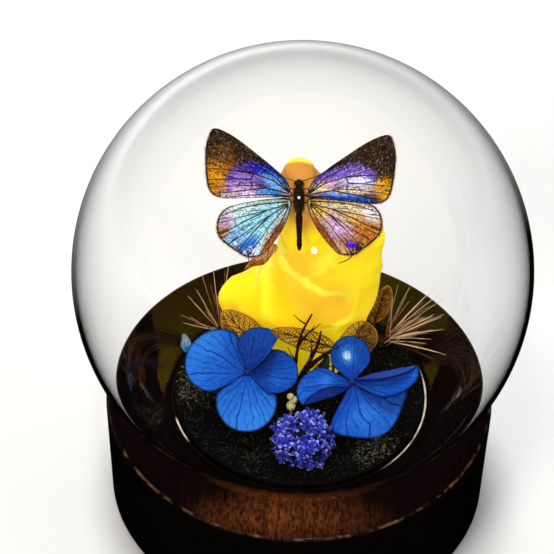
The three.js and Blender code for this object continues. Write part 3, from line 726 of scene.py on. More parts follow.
def stoneMaterial():
    # polished translucent calcite lit from below: glowing yellow,
    # amber where it is thick, duller at the top
    look = stoneLook
    material, tree, shader = newMaterial("yellowCalcite", {
        "Roughness": look["roughness"], "IOR": 1.5, "Emission Strength": look["glow"],
        "Specular IOR Level": 0.4})
    place = addNode(tree, "TexCoord")
    plane = addNode(tree, "Attribute", {"attribute_name": "plane"})
    cloud = addNode(tree, "TexNoise", {"Scale": 1 / look["cloudSize"], "Detail": 3, "Distortion": 0.6},
                    {"Vector": plane.outputs["Vector"]})
    wander = look["wander"]
    shift = addNode(tree, "VectorMath", {
        "operation": "MULTIPLY_ADD", 1: (wander, wander, 0), 2: (-wander / 2, -wander / 2, 0)},
        {0: cloud.outputs["Color"]})
    moved = addNode(tree, "VectorMath", {"operation": "ADD"}, {0: plane.outputs["Vector"], 1: shift})
    body = layPatches(tree, moved, look["yellow"], look["patches"])
    parts = addNode(tree, "SeparateXYZ", {}, {"Vector": place.outputs["Object"]})
    behind = addNode(tree, "MapRange", {
        "From Min": look["crestFrom"] * mm, "From Max": look["crestTo"] * mm},
        {"Value": parts.outputs["Y"]})
    high = addNode(tree, "MapRange", {"From Min": look["crestLow"] * mm, "From Max": look["crestHigh"] * mm},
                   {"Value": parts.outputs["Z"]})
    crest = addNode(tree, "Math", {"operation": "MULTIPLY"}, {0: behind, 1: high})
    whole = addNode(tree, "Mix", {"data_type": "RGBA", mixSecond: linear(look["crest"])},
                    {mixFactor: crest, mixFirst: body})
    # less of the lamp's light comes out at the back
    dimmed = addNode(tree, "MapRange", {
        "From Min": look["dimFrom"] * mm, "From Max": look["dimTo"] * mm, "To Max": look["dimmest"]},
        {"Value": parts.outputs["Y"]})
    shone = addNode(tree, "Mix", {"data_type": "RGBA", mixSecond: linear(look["dim"])},
                    {mixFactor: dimmed, mixFirst: whole})
    tree.links.new(whole.outputs[mixColour], shader.inputs["Base Color"])
    tree.links.new(shone.outputs[mixColour], shader.inputs["Emission Color"])
    veins = addNode(tree, "TexNoise", {"Scale": 1 / (look["veinSize"] * mm), "Detail": 4},
                    {"Vector": place.outputs["Object"]})
    bumpFrom(tree, shader, veins, distance=1.5, strength=0.5)
    return material


def makeStone():
    sections = spline([Vector(s[:4]) for s in stoneSections], stone["perSection"])
    backs = spline([Vector((s[0], s[4], 0)) for s in stoneSections], stone["perSection"])
    power = 2 / stone["roundness"]
    sides = stone["sides"]
    points, faces = [], []
    for section, rear in zip(sections, backs):
        height, left, right, front = section
        back = rear.y
        for k in range(sides):
            angle = 2 * math.pi * k / sides
            lumps = math.sin(3 * angle + 0.11 * height) + 0.7 * math.sin(5 * angle - 0.17 * height)
            swell = 1 + stone["lump"] * lumps
            cosine, sine = math.cos(angle), math.sin(angle)
            across = math.copysign(abs(cosine) ** power, cosine)
            deep = math.copysign(abs(sine) ** power, sine)
            x = (left + right) / 2 + (right - left) / 2 * swell * across
            y = (front + back) / 2 + (back - front) / 2 * swell * deep
            spot = Vector((x, y, height))
            crease = 1 - 2 * abs(noise.noise(spot / stone["ridgeSize"] + Vector((4, 1, 7))))
            outward = Vector((cosine, sine, 0))
            points.append(spot + outward * (stone["ridge"] * (crease - 0.7)))
    count = len(sections)
    for level in range(count - 1):
        for k in range(sides):
            a, b = level * sides + k, level * sides + (k + 1) % sides
            faces.append([a, b, b + sides, a + sides])
    for level, turnedOver in ((0, True), (count - 1, False)):
        ring = list(range(level * sides, (level + 1) * sides))
        middle = sum((points[i] for i in ring), Vector()) / sides
        points.append(middle + Vector((0, 0, 0.3 if level else 0)))
        tip = len(points) - 1
        for here, there in zip(ring, ring[1:] + ring[:1]):
            faces.append([there, here, tip] if turnedOver else [here, there, tip])
    makePiece("calciteStone", points, faces, [stoneMaterial()], "yellow_stone", "stone",
              marks={"plane": [(p.x, p.z, 0) for p in points]})


makeStone()

print("stage: butterfly")

butterfly = {"position": (-1.27, 11, 79.33), "tilt": 55, "spin": -2, "bodySpin": 4, "dihedral": 10,
             "wingThickness": 0.16, "forewingLift": 0.25, "hindwingLift": -0.45, "foreSwing": 1.4,
             "hindSwing": 5, "rings": 22, "perSpan": 12, "ripple": 0.12}
butterflyPlace = (Matrix.Translation(Vector(butterfly["position"]))
                  @ Matrix.Rotation(math.radians(butterfly["tilt"]), 4, "X")
                  @ Matrix.Rotation(math.radians(butterfly["spin"]), 4, "Z"))

# the wings' outlines and veins in the wing's own plane: x out from the body, y towards the head
forewing = {
    "outline": [(2, 1.2), (3, 3.6), (6, 6.4), (9.7, 9.3), (13.4, 12.1), (16.8, 14.1), (19.2, 14.6),
                (20.4, 12.4), (20.8, 9.6), (20.6, 5.5), (19.9, 1.8), (18.2, -0.1), (15, -0.6), (10, -0.4),
                (2.2, -0.1)],
    "middle": (3.0, 0.8), "fringe": (6, 12), "lift": butterfly["forewingLift"],
    "swing": butterfly["foreSwing"],
    "veins": [
        [(2.3, 1), (4.4, 4.4), (8.6, 7.8), (15, 12.4)], [(2.3, 0.9), (6, 4.6), (11, 7.6), (18.6, 12.6)],
        [(2.3, 0.8), (6, 3.4), (10, 4.9), (20.5, 8.8)], [(10, 4.9), (14.5, 5.6), (20.6, 6)],
        [(10, 4.9), (10.7, 3.7), (10.2, 2.3)], [(10.6, 3.7), (15, 3.7), (20.3, 3.6)],
        [(2.3, 0.5), (6, 1.5), (10.2, 2.3), (20, 1.9)], [(7.4, 1.8), (13, 1.1), (19, 0.4)],
        [(2.3, 0.1), (8, 0.35), (16.6, -0.3)]],
}
hindwing = {
    "outline": [(2, -0.6), (8.5, -0.5), (14.5, -1.4), (17, -2.9), (18, -5.2), (17.7, -7.8), (16, -9.8),
                (13.8, -11.5), (11.6, -12.9), (9, -12.8), (7.2, -11.7), (5, -9.2), (3.3, -6.6),
                (2.1, -3.6)],
    "middle": (3.0, -2.2), "fringe": (2, 10), "lift": butterfly["hindwingLift"],
    "swing": butterfly["hindSwing"],
    "veins": [
        [(2.3, -1.2), (8, -1.4), (13, -2.1), (16.9, -3.5)], [(2.3, -1.6), (7, -2.8), (17.7, -5)],
        [(7, -2.8), (12, -5), (17.3, -7.6)], [(2.3, -1.8), (6.4, -4), (15.6, -9.9)],
        [(6.4, -4), (10, -7.4), (13.6, -11.4)], [(2.3, -2), (5, -4.6), (11.4, -12.6)],
        [(2.3, -2.3), (4, -5.4), (8.6, -12.2)]],
}
tails = {"right": [(11, -12.3), (11.1, -13.2), (10, -14.1), (8.1, -14.8)],
         "left": [(11.2, -12.3), (11.3, -13.2), (11.2, -14)]}
veinRadius = 0.13
deepInside = 9.0   # mark of places well inside the dark margin

# both wings of a pair have the same scales: their colours differ between left and right as painted light,
# each wing drawn as it catches the light and lets it through
# wing colours as soft patches laid one over the other:
# x, y, half length, half width, turn, colour, softness
wingColours = {
    "forewing_left": ("#2c1a10", [
        (17.6, 4.8, 3.2, 5.4, 4, "#9a5a1e", 0.45), (18.2, 3.8, 2.3, 3.8, 0, "#d69038", 0.6),
        (17.3, 9.0, 2.0, 2.2, 10, "#5c3818", 0.8), (10.4, 3.1, 5.6, 4.0, 6, "#6c4cb0", 0.14),
        (8.4, 5.7, 3.4, 1.2, 6, "#3038b8", 0.6), (5.2, 4.0, 2.8, 1.1, 38, "#3f5ce0", 0.6),
        (11.4, 3.8, 3.2, 1.3, 4, "#9076c4", 0.6), (12.2, 1.7, 3.6, 1.2, 4, "#cba2dc", 0.6),
        (12.4, 0.4, 3.8, 0.7, 0, "#e8caea", 0.7), (5.6, 2.9, 3.0, 1.2, 36, "#84bcf8", 0.6),
        (6.2, 0.8, 3.4, 0.8, 4, "#4fa0f0", 0.6), (2.9, 0.8, 1.2, 0.9, 20, "#d9bcd4", 0.6),
        (12, -0.25, 6, 0.3, -1, "#efe2f2", 0.6)]),
    "forewing_right": ("#301e12", [
        (18.7, 2.6, 2.2, 2.8, 0, "#b97c2e", 0.45), (18.9, 2.0, 1.3, 1.5, 0, "#eab24c", 0.7),
        (17.2, 3.5, 1.3, 1.0, 0, "#d9a048", 0.7), (9.8, 3.5, 7.0, 2.9, 18, "#a68cd6", 0.16),
        (9.4, 5.9, 3.8, 1.0, 20, "#9274dc", 0.55), (4.8, 4.4, 2.2, 0.8, 40, "#8a6cdc", 0.6),
        (15.0, 5.2, 1.7, 1.0, -10, "#7350da", 0.6), (12.4, 3.8, 3.8, 1.5, 6, "#e6e2fc", 0.5),
        (9.4, 3.7, 2.4, 0.9, 14, "#d2c6f4", 0.6), (7.0, 3.1, 2.2, 0.8, 28, "#dcb0d6", 0.6),
        (4.2, 1.9, 2.2, 1.1, 22, "#f0d8a0", 0.5), (10.6, 1.7, 5.8, 0.7, 3, "#f4dac0", 0.6),
        (10.4, 0.35, 5.8, 0.75, -4, "#2d59cc", 0.35), (7.6, 0.7, 2.6, 0.35, -4, "#5a94f4", 0.6),
        (10.4, -0.35, 5.8, 0.25, -3, "#10184a", 0.6)]),
    "hindwing_left": ("#c6eef6", [
        (9.4, -1.7, 6.4, 1.3, -5, "#d8f2e8", 0.5), (9.0, -5.8, 5.6, 3.0, -36, "#a2e4f6", 0.5),
        (16.6, -4.6, 2.3, 2.3, 0, "#cfaed6", 0.5), (15.6, -3.2, 1.7, 0.9, -20, "#e4d8e4", 0.6),
        (16.8, -7.3, 1.6, 1.6, 0, "#b98560", 0.6), (14.2, -8.2, 2.4, 1.2, -40, "#8fb4ea", 0.6),
        (11.6, -10.6, 2.8, 1.6, -36, "#4a84e6", 0.5), (11.2, -11.7, 1.1, 0.8, -20, "#f4f2f6", 0.2),
        (11.2, -11.7, 0.8, 0.55, -20, "#1c2596", 0.25), (13.8, -10.2, 0.7, 0.5, -30, "#f0eef4", 0.2),
        (13.8, -10.2, 0.45, 0.3, -30, "#232f9a", 0.25), (6.5, -8.0, 5.2, 0.55, -54, "#f0e6e6", 0.4),
        (5.5, -8.7, 6.2, 1.0, -53, "#7a3e1a", 0.5), (6.4, -11.0, 2.6, 0.8, -50, "#b8682c", 0.7)]),
    "hindwing_right": ("#d3a06a", [
        (4.4, -3.0, 3.0, 2.2, -30, "#f0cc5c", 0.5), (10.4, -2.6, 5.6, 1.3, -8, "#f2e0bc", 0.5),
        (16.0, -3.9, 2.3, 1.6, -20, "#fbf6f6", 0.4), (8.6, -7.2, 3.9, 2.6, -48, "#dcb8de", 0.5),
        (11.6, -5.4, 3.4, 1.3, -30, "#e0b878", 0.6), (14.4, -8.2, 3.0, 2.4, -30, "#bc7840", 0.6),
        (10.4, -10.4, 2.6, 1.6, -20, "#b07a5c", 0.6), (12.3, -11.2, 1.3, 0.9, -20, "#0f0a12", 0.35),
        (11.0, -10.6, 0.95, 0.85, 0, "#4a22e0", 0.3), (5.6, -8.0, 5.0, 0.5, -54, "#ead0b8", 0.5),
        (5.2, -8.3, 5.6, 0.9, -53, "#8e421c", 0.5)]),
}
# real scales are about 0.1 mm; these are drawn three times as coarse, so that they show
wingLook = {"margin": "#1a0f08", "marginWidth": 0.42, "scaleSize": 0.34, "streakWidth": 0.45, "rays": 0.85,
            "roughness": 0.5, "scatter": 1.1, "wander": 1.3, "glintSize": 0.16, "glint": "#e8d4b4",
            "glintMost": 0.45, "fanRadius": 14, "fanStretch": 0.25}


def wingMaterial(name, baseColour, patches):
    # butterfly scales: satin dust, soft-edged fields of colour,
    # grainy and faintly streaked along the veins
    look = wingLook
    material, tree, shader = newMaterial(name, {
        "Roughness": look["roughness"], "IOR": 1.5, "Specular IOR Level": 0.3})
    plane = addNode(tree, "Attribute", {"attribute_name": "plane"})
    wobble = addNode(tree, "TexNoise", {"Scale": 0.9, "Detail": 4}, {"Vector": plane.outputs["Vector"]})
    wander = look["wander"]
    shift = addNode(tree, "VectorMath", {
        "operation": "MULTIPLY_ADD", 1: (wander, wander, 0), 2: (-wander / 2, -wander / 2, 0)},
        {0: wobble.outputs["Color"]})
    moved = addNode(tree, "VectorMath", {"operation": "ADD"}, {0: plane.outputs["Vector"], 1: shift})
    # each scale has one colour, so fields meet in a scatter of scales
    scales = addNode(tree, "TexVoronoi", {"Scale": 1 / look["scaleSize"]},
                     {"Vector": plane.outputs["Vector"]})
    reach = look["scatter"]
    jump = addNode(tree, "VectorMath", {
        "operation": "MULTIPLY_ADD", 1: (reach, reach, 0), 2: (-reach / 2, -reach / 2, 0)},
        {0: scales.outputs["Color"]})
    scattered = addNode(tree, "VectorMath", {"operation": "ADD"}, {0: moved, 1: jump})
    colour = layPatches(tree, scattered, baseColour, patches)
    inset = addNode(tree, "Attribute", {"attribute_name": "inset"})
    edge = addNode(tree, "MapRange", {
        "interpolation_type": "SMOOTHSTEP", "From Min": look["marginWidth"] * 1.4,
        "From Max": look["marginWidth"] * 0.5},
        {"Value": inset.outputs["Fac"]})
    edged = addNode(tree, "Mix", {"data_type": "RGBA", mixSecond: linear(look["margin"])},
                    {mixFactor: edge, mixFirst: colour})
    fan = addNode(tree, "Attribute", {"attribute_name": "fan"})
    streaks = addNode(tree, "TexNoise", {"Scale": 1, "Detail": 3}, {"Vector": fan.outputs["Vector"]})
    grain = addNode(tree, "Math", {"operation": "MULTIPLY_ADD", 1: 0.9},
                    {0: streaks, 2: scales.outputs["Color"]})
    value = addNode(tree, "MapRange", {"From Min": 0.4, "From Max": 1.3, "To Min": 1.75, "To Max": 0.42},
                    {"Value": grain})
    grained = addNode(tree, "HueSaturation", {"Saturation": 1.1}, {"Value": value, "Color": edged})
    rays = addNode(tree, "MapRange", {"From Min": 0.54, "From Max": 0.64, "To Max": look["rays"]},
                   {"Value": streaks})
    rayed = addNode(tree, "Mix", {"data_type": "RGBA", mixSecond: linear(look["margin"])},
                    {mixFactor: rays, mixFirst: grained})
    glints = addNode(tree, "TexVoronoi", {"Scale": 1 / look["glintSize"]},
                     {"Vector": plane.outputs["Vector"]})
    bright = addNode(tree, "MapRange", {"From Min": 0.8, "From Max": 0.88, "To Max": look["glintMost"]},
                     {"Value": glints.outputs["Color"]})
    glinting = addNode(tree, "Mix", {"data_type": "RGBA", mixSecond: linear(look["glint"])},
                       {mixFactor: bright, mixFirst: rayed})
    tree.links.new(glinting.outputs[mixColour], shader.inputs["Base Color"])
    bumpFrom(tree, shader, grain, distance=0.06, strength=0.4)
    return material


# the eye's facets are drawn four times as coarse as real ones, so that they show
bodyLook = {"dark": "#090504", "brown": "#2a170c", "hairTip": "#7a5526", "fleck": 0.4, "eye": "#0a0708",
            "eyeLight": "#1a1014", "facet": 0.1, "strut": "#150d09", "strutLight": "#3a2416",
            "strutFleck": 0.6}


def veinMaterial():
    # chitin: thin dark struts, a little glossy
    return fleckedMaterial("darkChitin", {"Roughness": 0.45, "IOR": 1.56}, bodyLook["strutFleck"],
                           [(0.3, bodyLook["strut"]), (0.8, bodyLook["strutLight"])], detail=2)


fringe = {"pale": "#e8cf9c", "brown": "#a06a3a", "dark": "#2a1a10", "length": (0.22, 0.5),
          "halfWidth": 0.06, "sunk": 0.08, "halfThickness": 0.03, "swing": 0.3}


def fringeMaterial():
    # fringe of long dry scales: dull straw and brown, standing off the wing's edge
    material, tree, shader = newMaterial("fringeScales", {"Roughness": 0.7})
    shade = addNode(tree, "Attribute", {"attribute_name": "inset"})
    colour = addNode(tree, "ValToRGB", {
        "stops": [(0.0, fringe["pale"]), (0.5, fringe["brown"]), (1.0, fringe["dark"])]},
        {"Fac": shade.outputs["Fac"]})
    tree.links.new(colour.outputs["Color"], shader.inputs["Base Color"])
    return material


chitin, fringeScales = veinMaterial(), fringeMaterial()


def makeWing(name, side, shape, slot):
    sign = 1 if side == "right" else -1
    place = (butterflyPlace @ Matrix.Rotation(math.radians(-sign * butterfly["dihedral"]), 4, "Y")
             @ Matrix.Rotation(math.radians(shape["swing"]), 4, "Z"))
    outline = [Vector((p.x, p.y))
               for p in spline([(x, y, 0) for x, y in shape["outline"]], butterfly["perSpan"], True)]
    middle = Vector(shape["middle"])
    count, rings = len(outline), butterfly["rings"]

    def lay(spot, rise=0.0):   # a place in the wing's plane, on the slightly rippled membrane
        wave = math.sin(1.1 * spot.x + 0.6 * spot.y) * math.cos(0.8 * spot.y - 0.3 * spot.x)
        height = shape["lift"] + butterfly["ripple"] * wave + rise
        return place @ Vector((sign * spot.x, spot.y, height))
    pile = MeshPile()
    for face in (1, -1):
        points, plane, inset, fan = [lay(middle, face * butterfly["wingThickness"] / 2)], [], [], []
        plane.append((middle.x, middle.y, 0))
        inset.append(deepInside)
        fan.append((0, 0, 0))
        for ring in range(1, rings + 1):
            part = 1 - (1 - ring / rings) ** 1.4   # finer towards the edge
            for k, edge in enumerate(outline):
                spot = middle.lerp(edge, part)
                thin = butterfly["wingThickness"] / 2 * (1 if ring < rings else 0.35)
                points.append(lay(spot, face * thin))
                plane.append((spot.x, spot.y, 0))
                inset.append((1 - part) * (edge - middle).length)
                bearing = math.atan2(spot.y - middle.y, spot.x - middle.x)
                sideways = bearing * wingLook["fanRadius"] / wingLook["streakWidth"]
                fan.append((sideways, (spot - middle).length * wingLook["fanStretch"], 0))
        faces = [[0, 1 + k, 1 + (k + 1) % count] for k in range(count)]
        for ring in range(rings - 1):
            for k in range(count):
                a, b = 1 + ring * count + k, 1 + ring * count + (k + 1) % count
                faces.append([a, a + count, b + count, b])
        if face * sign > 0:
            faces = [f[::-1] for f in faces]
        pile.add(points, faces, 0, plane=plane, inset=inset, fan=fan)
    total = 1 + rings * count
    rim = [1 + (rings - 1) * count + k for k in range(count)]
    for here, there in zip(rim, rim[1:] + rim[:1]):
        wall = [here, there, total + there, total + here]
        pile.faces.append(wall if sign > 0 else wall[::-1])
        pile.faceMaterials.append(0)
    for vein in shape["veins"]:
        for face in (1, -1):
            line = [lay(Vector(p[:2]), face * butterfly["wingThickness"] / 2)
                    for p in spline([(x, y, 0) for x, y in vein], 8)]
            points, faces = tube(line, lambda t: veinRadius * (1.25 - 0.6 * t), 5, 0.7,
                                 place.to_3x3() @ Vector((0, 0, 1)))
            blank = [(0, 0, 0)] * len(points)
            pile.add(points, faces, 1, plane=blank, inset=deepInside, fan=blank)
    first, last = (index * butterfly["perSpan"] for index in shape["fringe"])
    for k in range(first, last):
        here, there = outline[k], outline[(k + 1) % count]
        for part in (0.0, 0.33, 0.67):
            root = here.lerp(there, part)
            out = (root - middle).normalized()
            swing = Matrix.Rotation(dice.gauss(0, fringe["swing"]), 2)
            length = dice.uniform(*fringe["length"])
            along = (there - here).normalized() * fringe["halfWidth"]
            tip = root + swing @ out * length
            sunk, half = out * fringe["sunk"], fringe["halfThickness"]
            spread = [root - along - sunk, root + along - sunk, tip]
            points = [lay(p, half) for p in spread] + [lay(p, -half) for p in spread]
            blank = [(0, 0, 0)] * 6
            tone = dice.random() * 0.45 + (0.5 if dice.random() < 0.5 else 0)
            pile.add(points, [[0, 1, 2], [5, 4, 3], [0, 3, 4, 1], [1, 4, 5, 2], [2, 5, 3, 0]], 2,
                     plane=blank, inset=tone, fan=blank)
    if slot == "hindwing":
        line = [lay(Vector(p[:2])) for p in spline([(x, y, 0) for x, y in tails[side]], 8)]
        points, faces = tube(line, lambda t: 0.2 - 0.12 * t, 6)
        blank = [(0, 0, 0)] * len(points)
        pile.add(points, faces, 1, plane=blank, inset=deepInside, fan=blank)
    baseColour, patches = wingColours[name]
    materials = [wingMaterial(name + "Scales", baseColour, patches), chitin, fringeScales]
    makePiece(name + "_membrane", pile.points, pile.faces, materials, name, slot,
              marks=pile.marks, faceMaterials=pile.faceMaterials)


for side in ("left", "right"):
    makeWing(f"forewing_{side}", side, forewing, "forewing")
    makeWing(f"hindwing_{side}", side, hindwing, "hindwing")

bodyShape = {
    "profile": [(0, -12.1), (0.35, -11.7), (0.6, -10.8), (0.58, -9), (0.7, -6.6), (0.78, -4.6),
                (0.62, -3.5), (0.95, -2.7), (1.15, -1.2), (1.15, 0.4), (0.95, 1.6), (0.55, 2.1),
                (0.85, 2.5), (0.9, 3.0), (0.5, 3.5), (0, 3.7)],
    "segments": 28, "perSpan": 6, "hairs": 900, "hairLength": (0.35, 0.9), "hairRadius": 0.035,
    "hairSpan": (-3.4, 3.4), "hairSway": 0.25, "pinClear": 0.5, "abdomen": (-11.5, -3.6),
    "rings": 9, "ringDepth": 0.07, "eyeAt": (0.62, 2.85, 0.25), "eyeRadius": 0.42, "legRadius": 0.14,
    "legStations": (1.2, -0.2, -1.8), "legJoints": [(0.7, 0, -0.9), (1.9, 0.3, -1.15), (2.4, -1.2, -1.35)],
    "antenna": [(0.35, 3.2, 0.2), (1.8, 3.8, 1), (4.4, 4.9, 1.7), (8.2, 7.6, 2.5)], "antennaRadius": 0.09,
}


def bodyMaterial():
    # chitin under brown hair: dull and dark, with paler tips
    return fleckedMaterial(
        "hairyChitin", {"Roughness": 0.62, "IOR": 1.56, "Specular IOR Level": 0.25}, bodyLook["fleck"],
        [(0.2, bodyLook["dark"]), (0.6, bodyLook["brown"]), (1.0, bodyLook["hairTip"])],
        mark="shade", share=0.5, bump=0.08)


def eyeMaterial():
    # compound eye: black, glossy, finely dimpled
    return fleckedMaterial("compoundEye", {"Roughness": 0.2, "IOR": 1.56}, bodyLook["facet"],
                           [(0, bodyLook["eyeLight"]), (0.7, bodyLook["eye"])],
                           kind="TexVoronoi", detail=0, bump=0.03)


def makeBody():
    look = bodyShape
    place = butterflyPlace @ Matrix.Rotation(math.radians(butterfly["bodySpin"]), 4, "Z")
    upright = Matrix.Rotation(-math.pi / 2, 4, "X")   # the turned body's axis laid along the insect
    line = spline([(r, y, 0) for r, y in look["profile"]], look["perSpan"])
    profile = []
    for spot in line:
        radius, along = max(spot.x, 0), spot.y
        if look["abdomen"][0] < along < look["abdomen"][1]:   # the abdomen's rings
            radius -= look["ringDepth"] * abs(math.sin(along * look["rings"] / 8 * math.pi / 1.1)) ** 4
        profile.append((radius, along))
    profile[0], profile[-1] = (0, profile[0][1]), (0, profile[-1][1])
    points, faces = lathe(profile, look["segments"])
    pile = MeshPile()
    pile.add([place @ upright @ p for p in points], faces, shade=0.15)
    for _ in range(look["hairs"]):
        along, angle = dice.uniform(*look["hairSpan"]), dice.uniform(0, 2 * math.pi)
        length = dice.uniform(*look["hairLength"])
        sway = (dice.gauss(0, look["hairSway"]), dice.gauss(0, look["hairSway"]))
        tone = dice.random()
        radius = float(np.interp(along, [p[1] for p in look["profile"]], [p[0] for p in look["profile"]]))
        out = Vector((math.cos(angle), -0.7 + sway[0], math.sin(angle) + sway[1])).normalized()
        root = Vector((radius * 0.92 * math.cos(angle), along, radius * 0.92 * math.sin(angle)))
        if abs(root.x) < look["pinClear"] and abs(along) < look["pinClear"] and root.z > 0:
            continue   # clear round the pin
        hair = [root, root + out * (0.55 * length), root + out * length + Vector((0, -0.2 * length, 0))]
        points, faces = tube(hair, lambda t: look["hairRadius"] * (1 - 0.85 * t), 3)
        pile.add([place @ p for p in points], faces, shade=0.1 + 0.6 * tone)
    for sign in (1, -1):
        for station in look["legStations"]:
            joints = [Vector((sign * x, station + y, z)) for x, y, z in look["legJoints"]]
            leg = [joints[0], joints[0].lerp(joints[1], 0.5), joints[1], joints[1].lerp(joints[2], 0.5),
                   joints[2]]
            points, faces = tube(leg, lambda t: look["legRadius"] * (1.1 - 0.6 * t), 8)
            pile.add([place @ p for p in points], faces, shade=0.2)
        path = spline([(sign * x, y, z) for x, y, z in look["antenna"]], 8)
        points, faces = tube(path, lambda t: look["antennaRadius"] * (1 + 1.2 * max(0, t - 0.82) / 0.18), 6)
        pile.add([place @ p for p in points], faces, shade=0.05)
        x, y, z = look["eyeAt"]
        eye = Vector((sign * x, y, z))
        ball, faces = lathe(ballProfile(look["eyeRadius"], 10), 16)
        pile.add([place @ (eye + p) for p in ball], faces, 1, shade=0.0)
    makePiece("hairyBody", pile.points, pile.faces, [bodyMaterial(), eyeMaterial()],
              "butterfly_body", "insect_body", marks=pile.marks, faceMaterials=pile.faceMaterials)


makeBody()

pin = {"radius": 0.22, "headRadius": 0.34, "point": 1, "top": 1.95, "bottom": -6}
# the drawing lines are coarser than real ones, so that they show
pinLook = {"steel": "#c9ccd0", "bright": "#f2f3f5", "lines": 0.15, "paintedGlint": "#f0f0ee", "white": "#ffffff",
           "pits": 0.2}


def makePin():
    # drawn stainless wire with a round head: bright, finely streaked
    steel = fleckedMaterial("drawnSteel", {"Metallic": 1.0, "Roughness": 0.18}, pinLook["lines"],
                            [(0.3, pinLook["steel"]), (0.7, pinLook["bright"])], detail=2)
    # fired enamel on the head, painted white as a highlight: a bright white dot that stands for the glint on
    # the pin's head
    paintedGlint = fleckedMaterial("paintedGlintWhite", {"Roughness": 0.15, "IOR": 1.5}, pinLook["pits"],
                             [(0.3, pinLook["paintedGlint"]), (0.7, pinLook["white"])], detail=2)
    head, top = pin["headRadius"], pin["top"]
    profile = [(0, pin["bottom"]), (pin["radius"] * 0.5, pin["bottom"] + 0.5),
               (pin["radius"], pin["bottom"] + pin["point"])]
    profile += [(pin["radius"], top - head), (head * 0.7, top - head * 0.7)]
    profile += [(head * math.cos(a), top + head * math.sin(a))
                for a in (math.pi / 2 * k / 8 for k in range(8))]
    profile.append((0, top + head))
    points, faces = lathe(profile, 24)
    neck = top - head * 0.75   # the enamel ends a little below the head's widest ring
    headFaces = [int(all(points[i].z > neck for i in face)) for face in faces]
    makePiece("steelPin", [butterflyPlace @ p for p in points], faces, [steel, paintedGlint],
              "insect_pin", "pin_steel", faceMaterials=headFaces)


makePin()

print("stage: hydrangeas")

sepalShape = {"thickness": 0.14, "steps": 44, "start": 0.4, "narrow": 0.55, "fullAt": 0.42, "ruffle": 0.2,
              "clawAt": 1.12, "ripple": 0.35, "ripples": 14, "waves": 5}
# veins: half width where a line is full and where it ends;
# then how many times denser, where they start and how strong they are
veinShape = {"full": 0.008, "none": 0.024, "orders": [(1, 0.05, 0.85), (2, 0.5, 0.6), (4, 0.95, 0.4)]}
# each sepal: turn, lift, length, width, cup, droop, where and how far it folds,
# how blunt it is (2 is round), how light its blue is,
# and a paler spot on it (across, along, how much, how wide)
# on the first right sepal and the fourth left one, the paler spot is a painted highlight
hydrangeas = {
    "left": {"centre": (-11.5, -5.3, 40), "tilt": 20, "sepals": [
        (160, 1, 14.2, 15.4, 0.8, 0.8, 2, 0, 2, 0.56, (-0.5, 0.5, 0.12, 0.5)),
        (270, 0, 13.6, 13.4, 0.6, 1.2, 2, 0, 2, 0.6, (0.4, 0.3, 0.06, 0.6)),
        (2, 4, 11.2, 10.6, 0.5, 0.6, 2, 0, 2, 0.36, (-0.3, 0.0, 0.2, 0.4)),
        (58, 14, 11.0, 11.4, 0.6, 0.4, -0.2, 70, 2, 0.36, (-0.8, 0.1, 0.32, 0.35))]},
    "right": {"centre": (11.5, -7.3, 40), "tilt": 18, "sepals": [
        (95, 10, 10.8, 8.8, 0.9, 0.5, 2, 0, 2, 0.42, (0.15, 0.1, 0.62, 0.34)),
        (200, 4, 12.6, 10.6, 0.5, 0.4, 0.4, 112, 2, 0.42, (-0.4, -0.2, 0.3, 0.3)),
        (9, 12, 15, 10, 0.4, 0.6, 0.25, 140, 2, 0.4, (-0.5, -0.3, 0.2, 0.4)),
        (305, -10, 12.6, 17.4, 0.6, 0.6, 2, 0, 3.4, 0.44, (-0.2, 0.1, 0.2, 0.5))]},
}
# the top colour of the ramp is mostly reached where a painted highlight spot lifts the tone
sepalLook = {"deep": "#0b2480", "blue": "#1450b6", "pale": "#2f80dc", "whitest": "#c4e4f2", "vein": "#071046",
             "under": "#26399c", "edge": "#081040", "mottle": 0.8, "veinSpread": 6.0, "veinBend": 5.5,
             "roughness": 0.55}


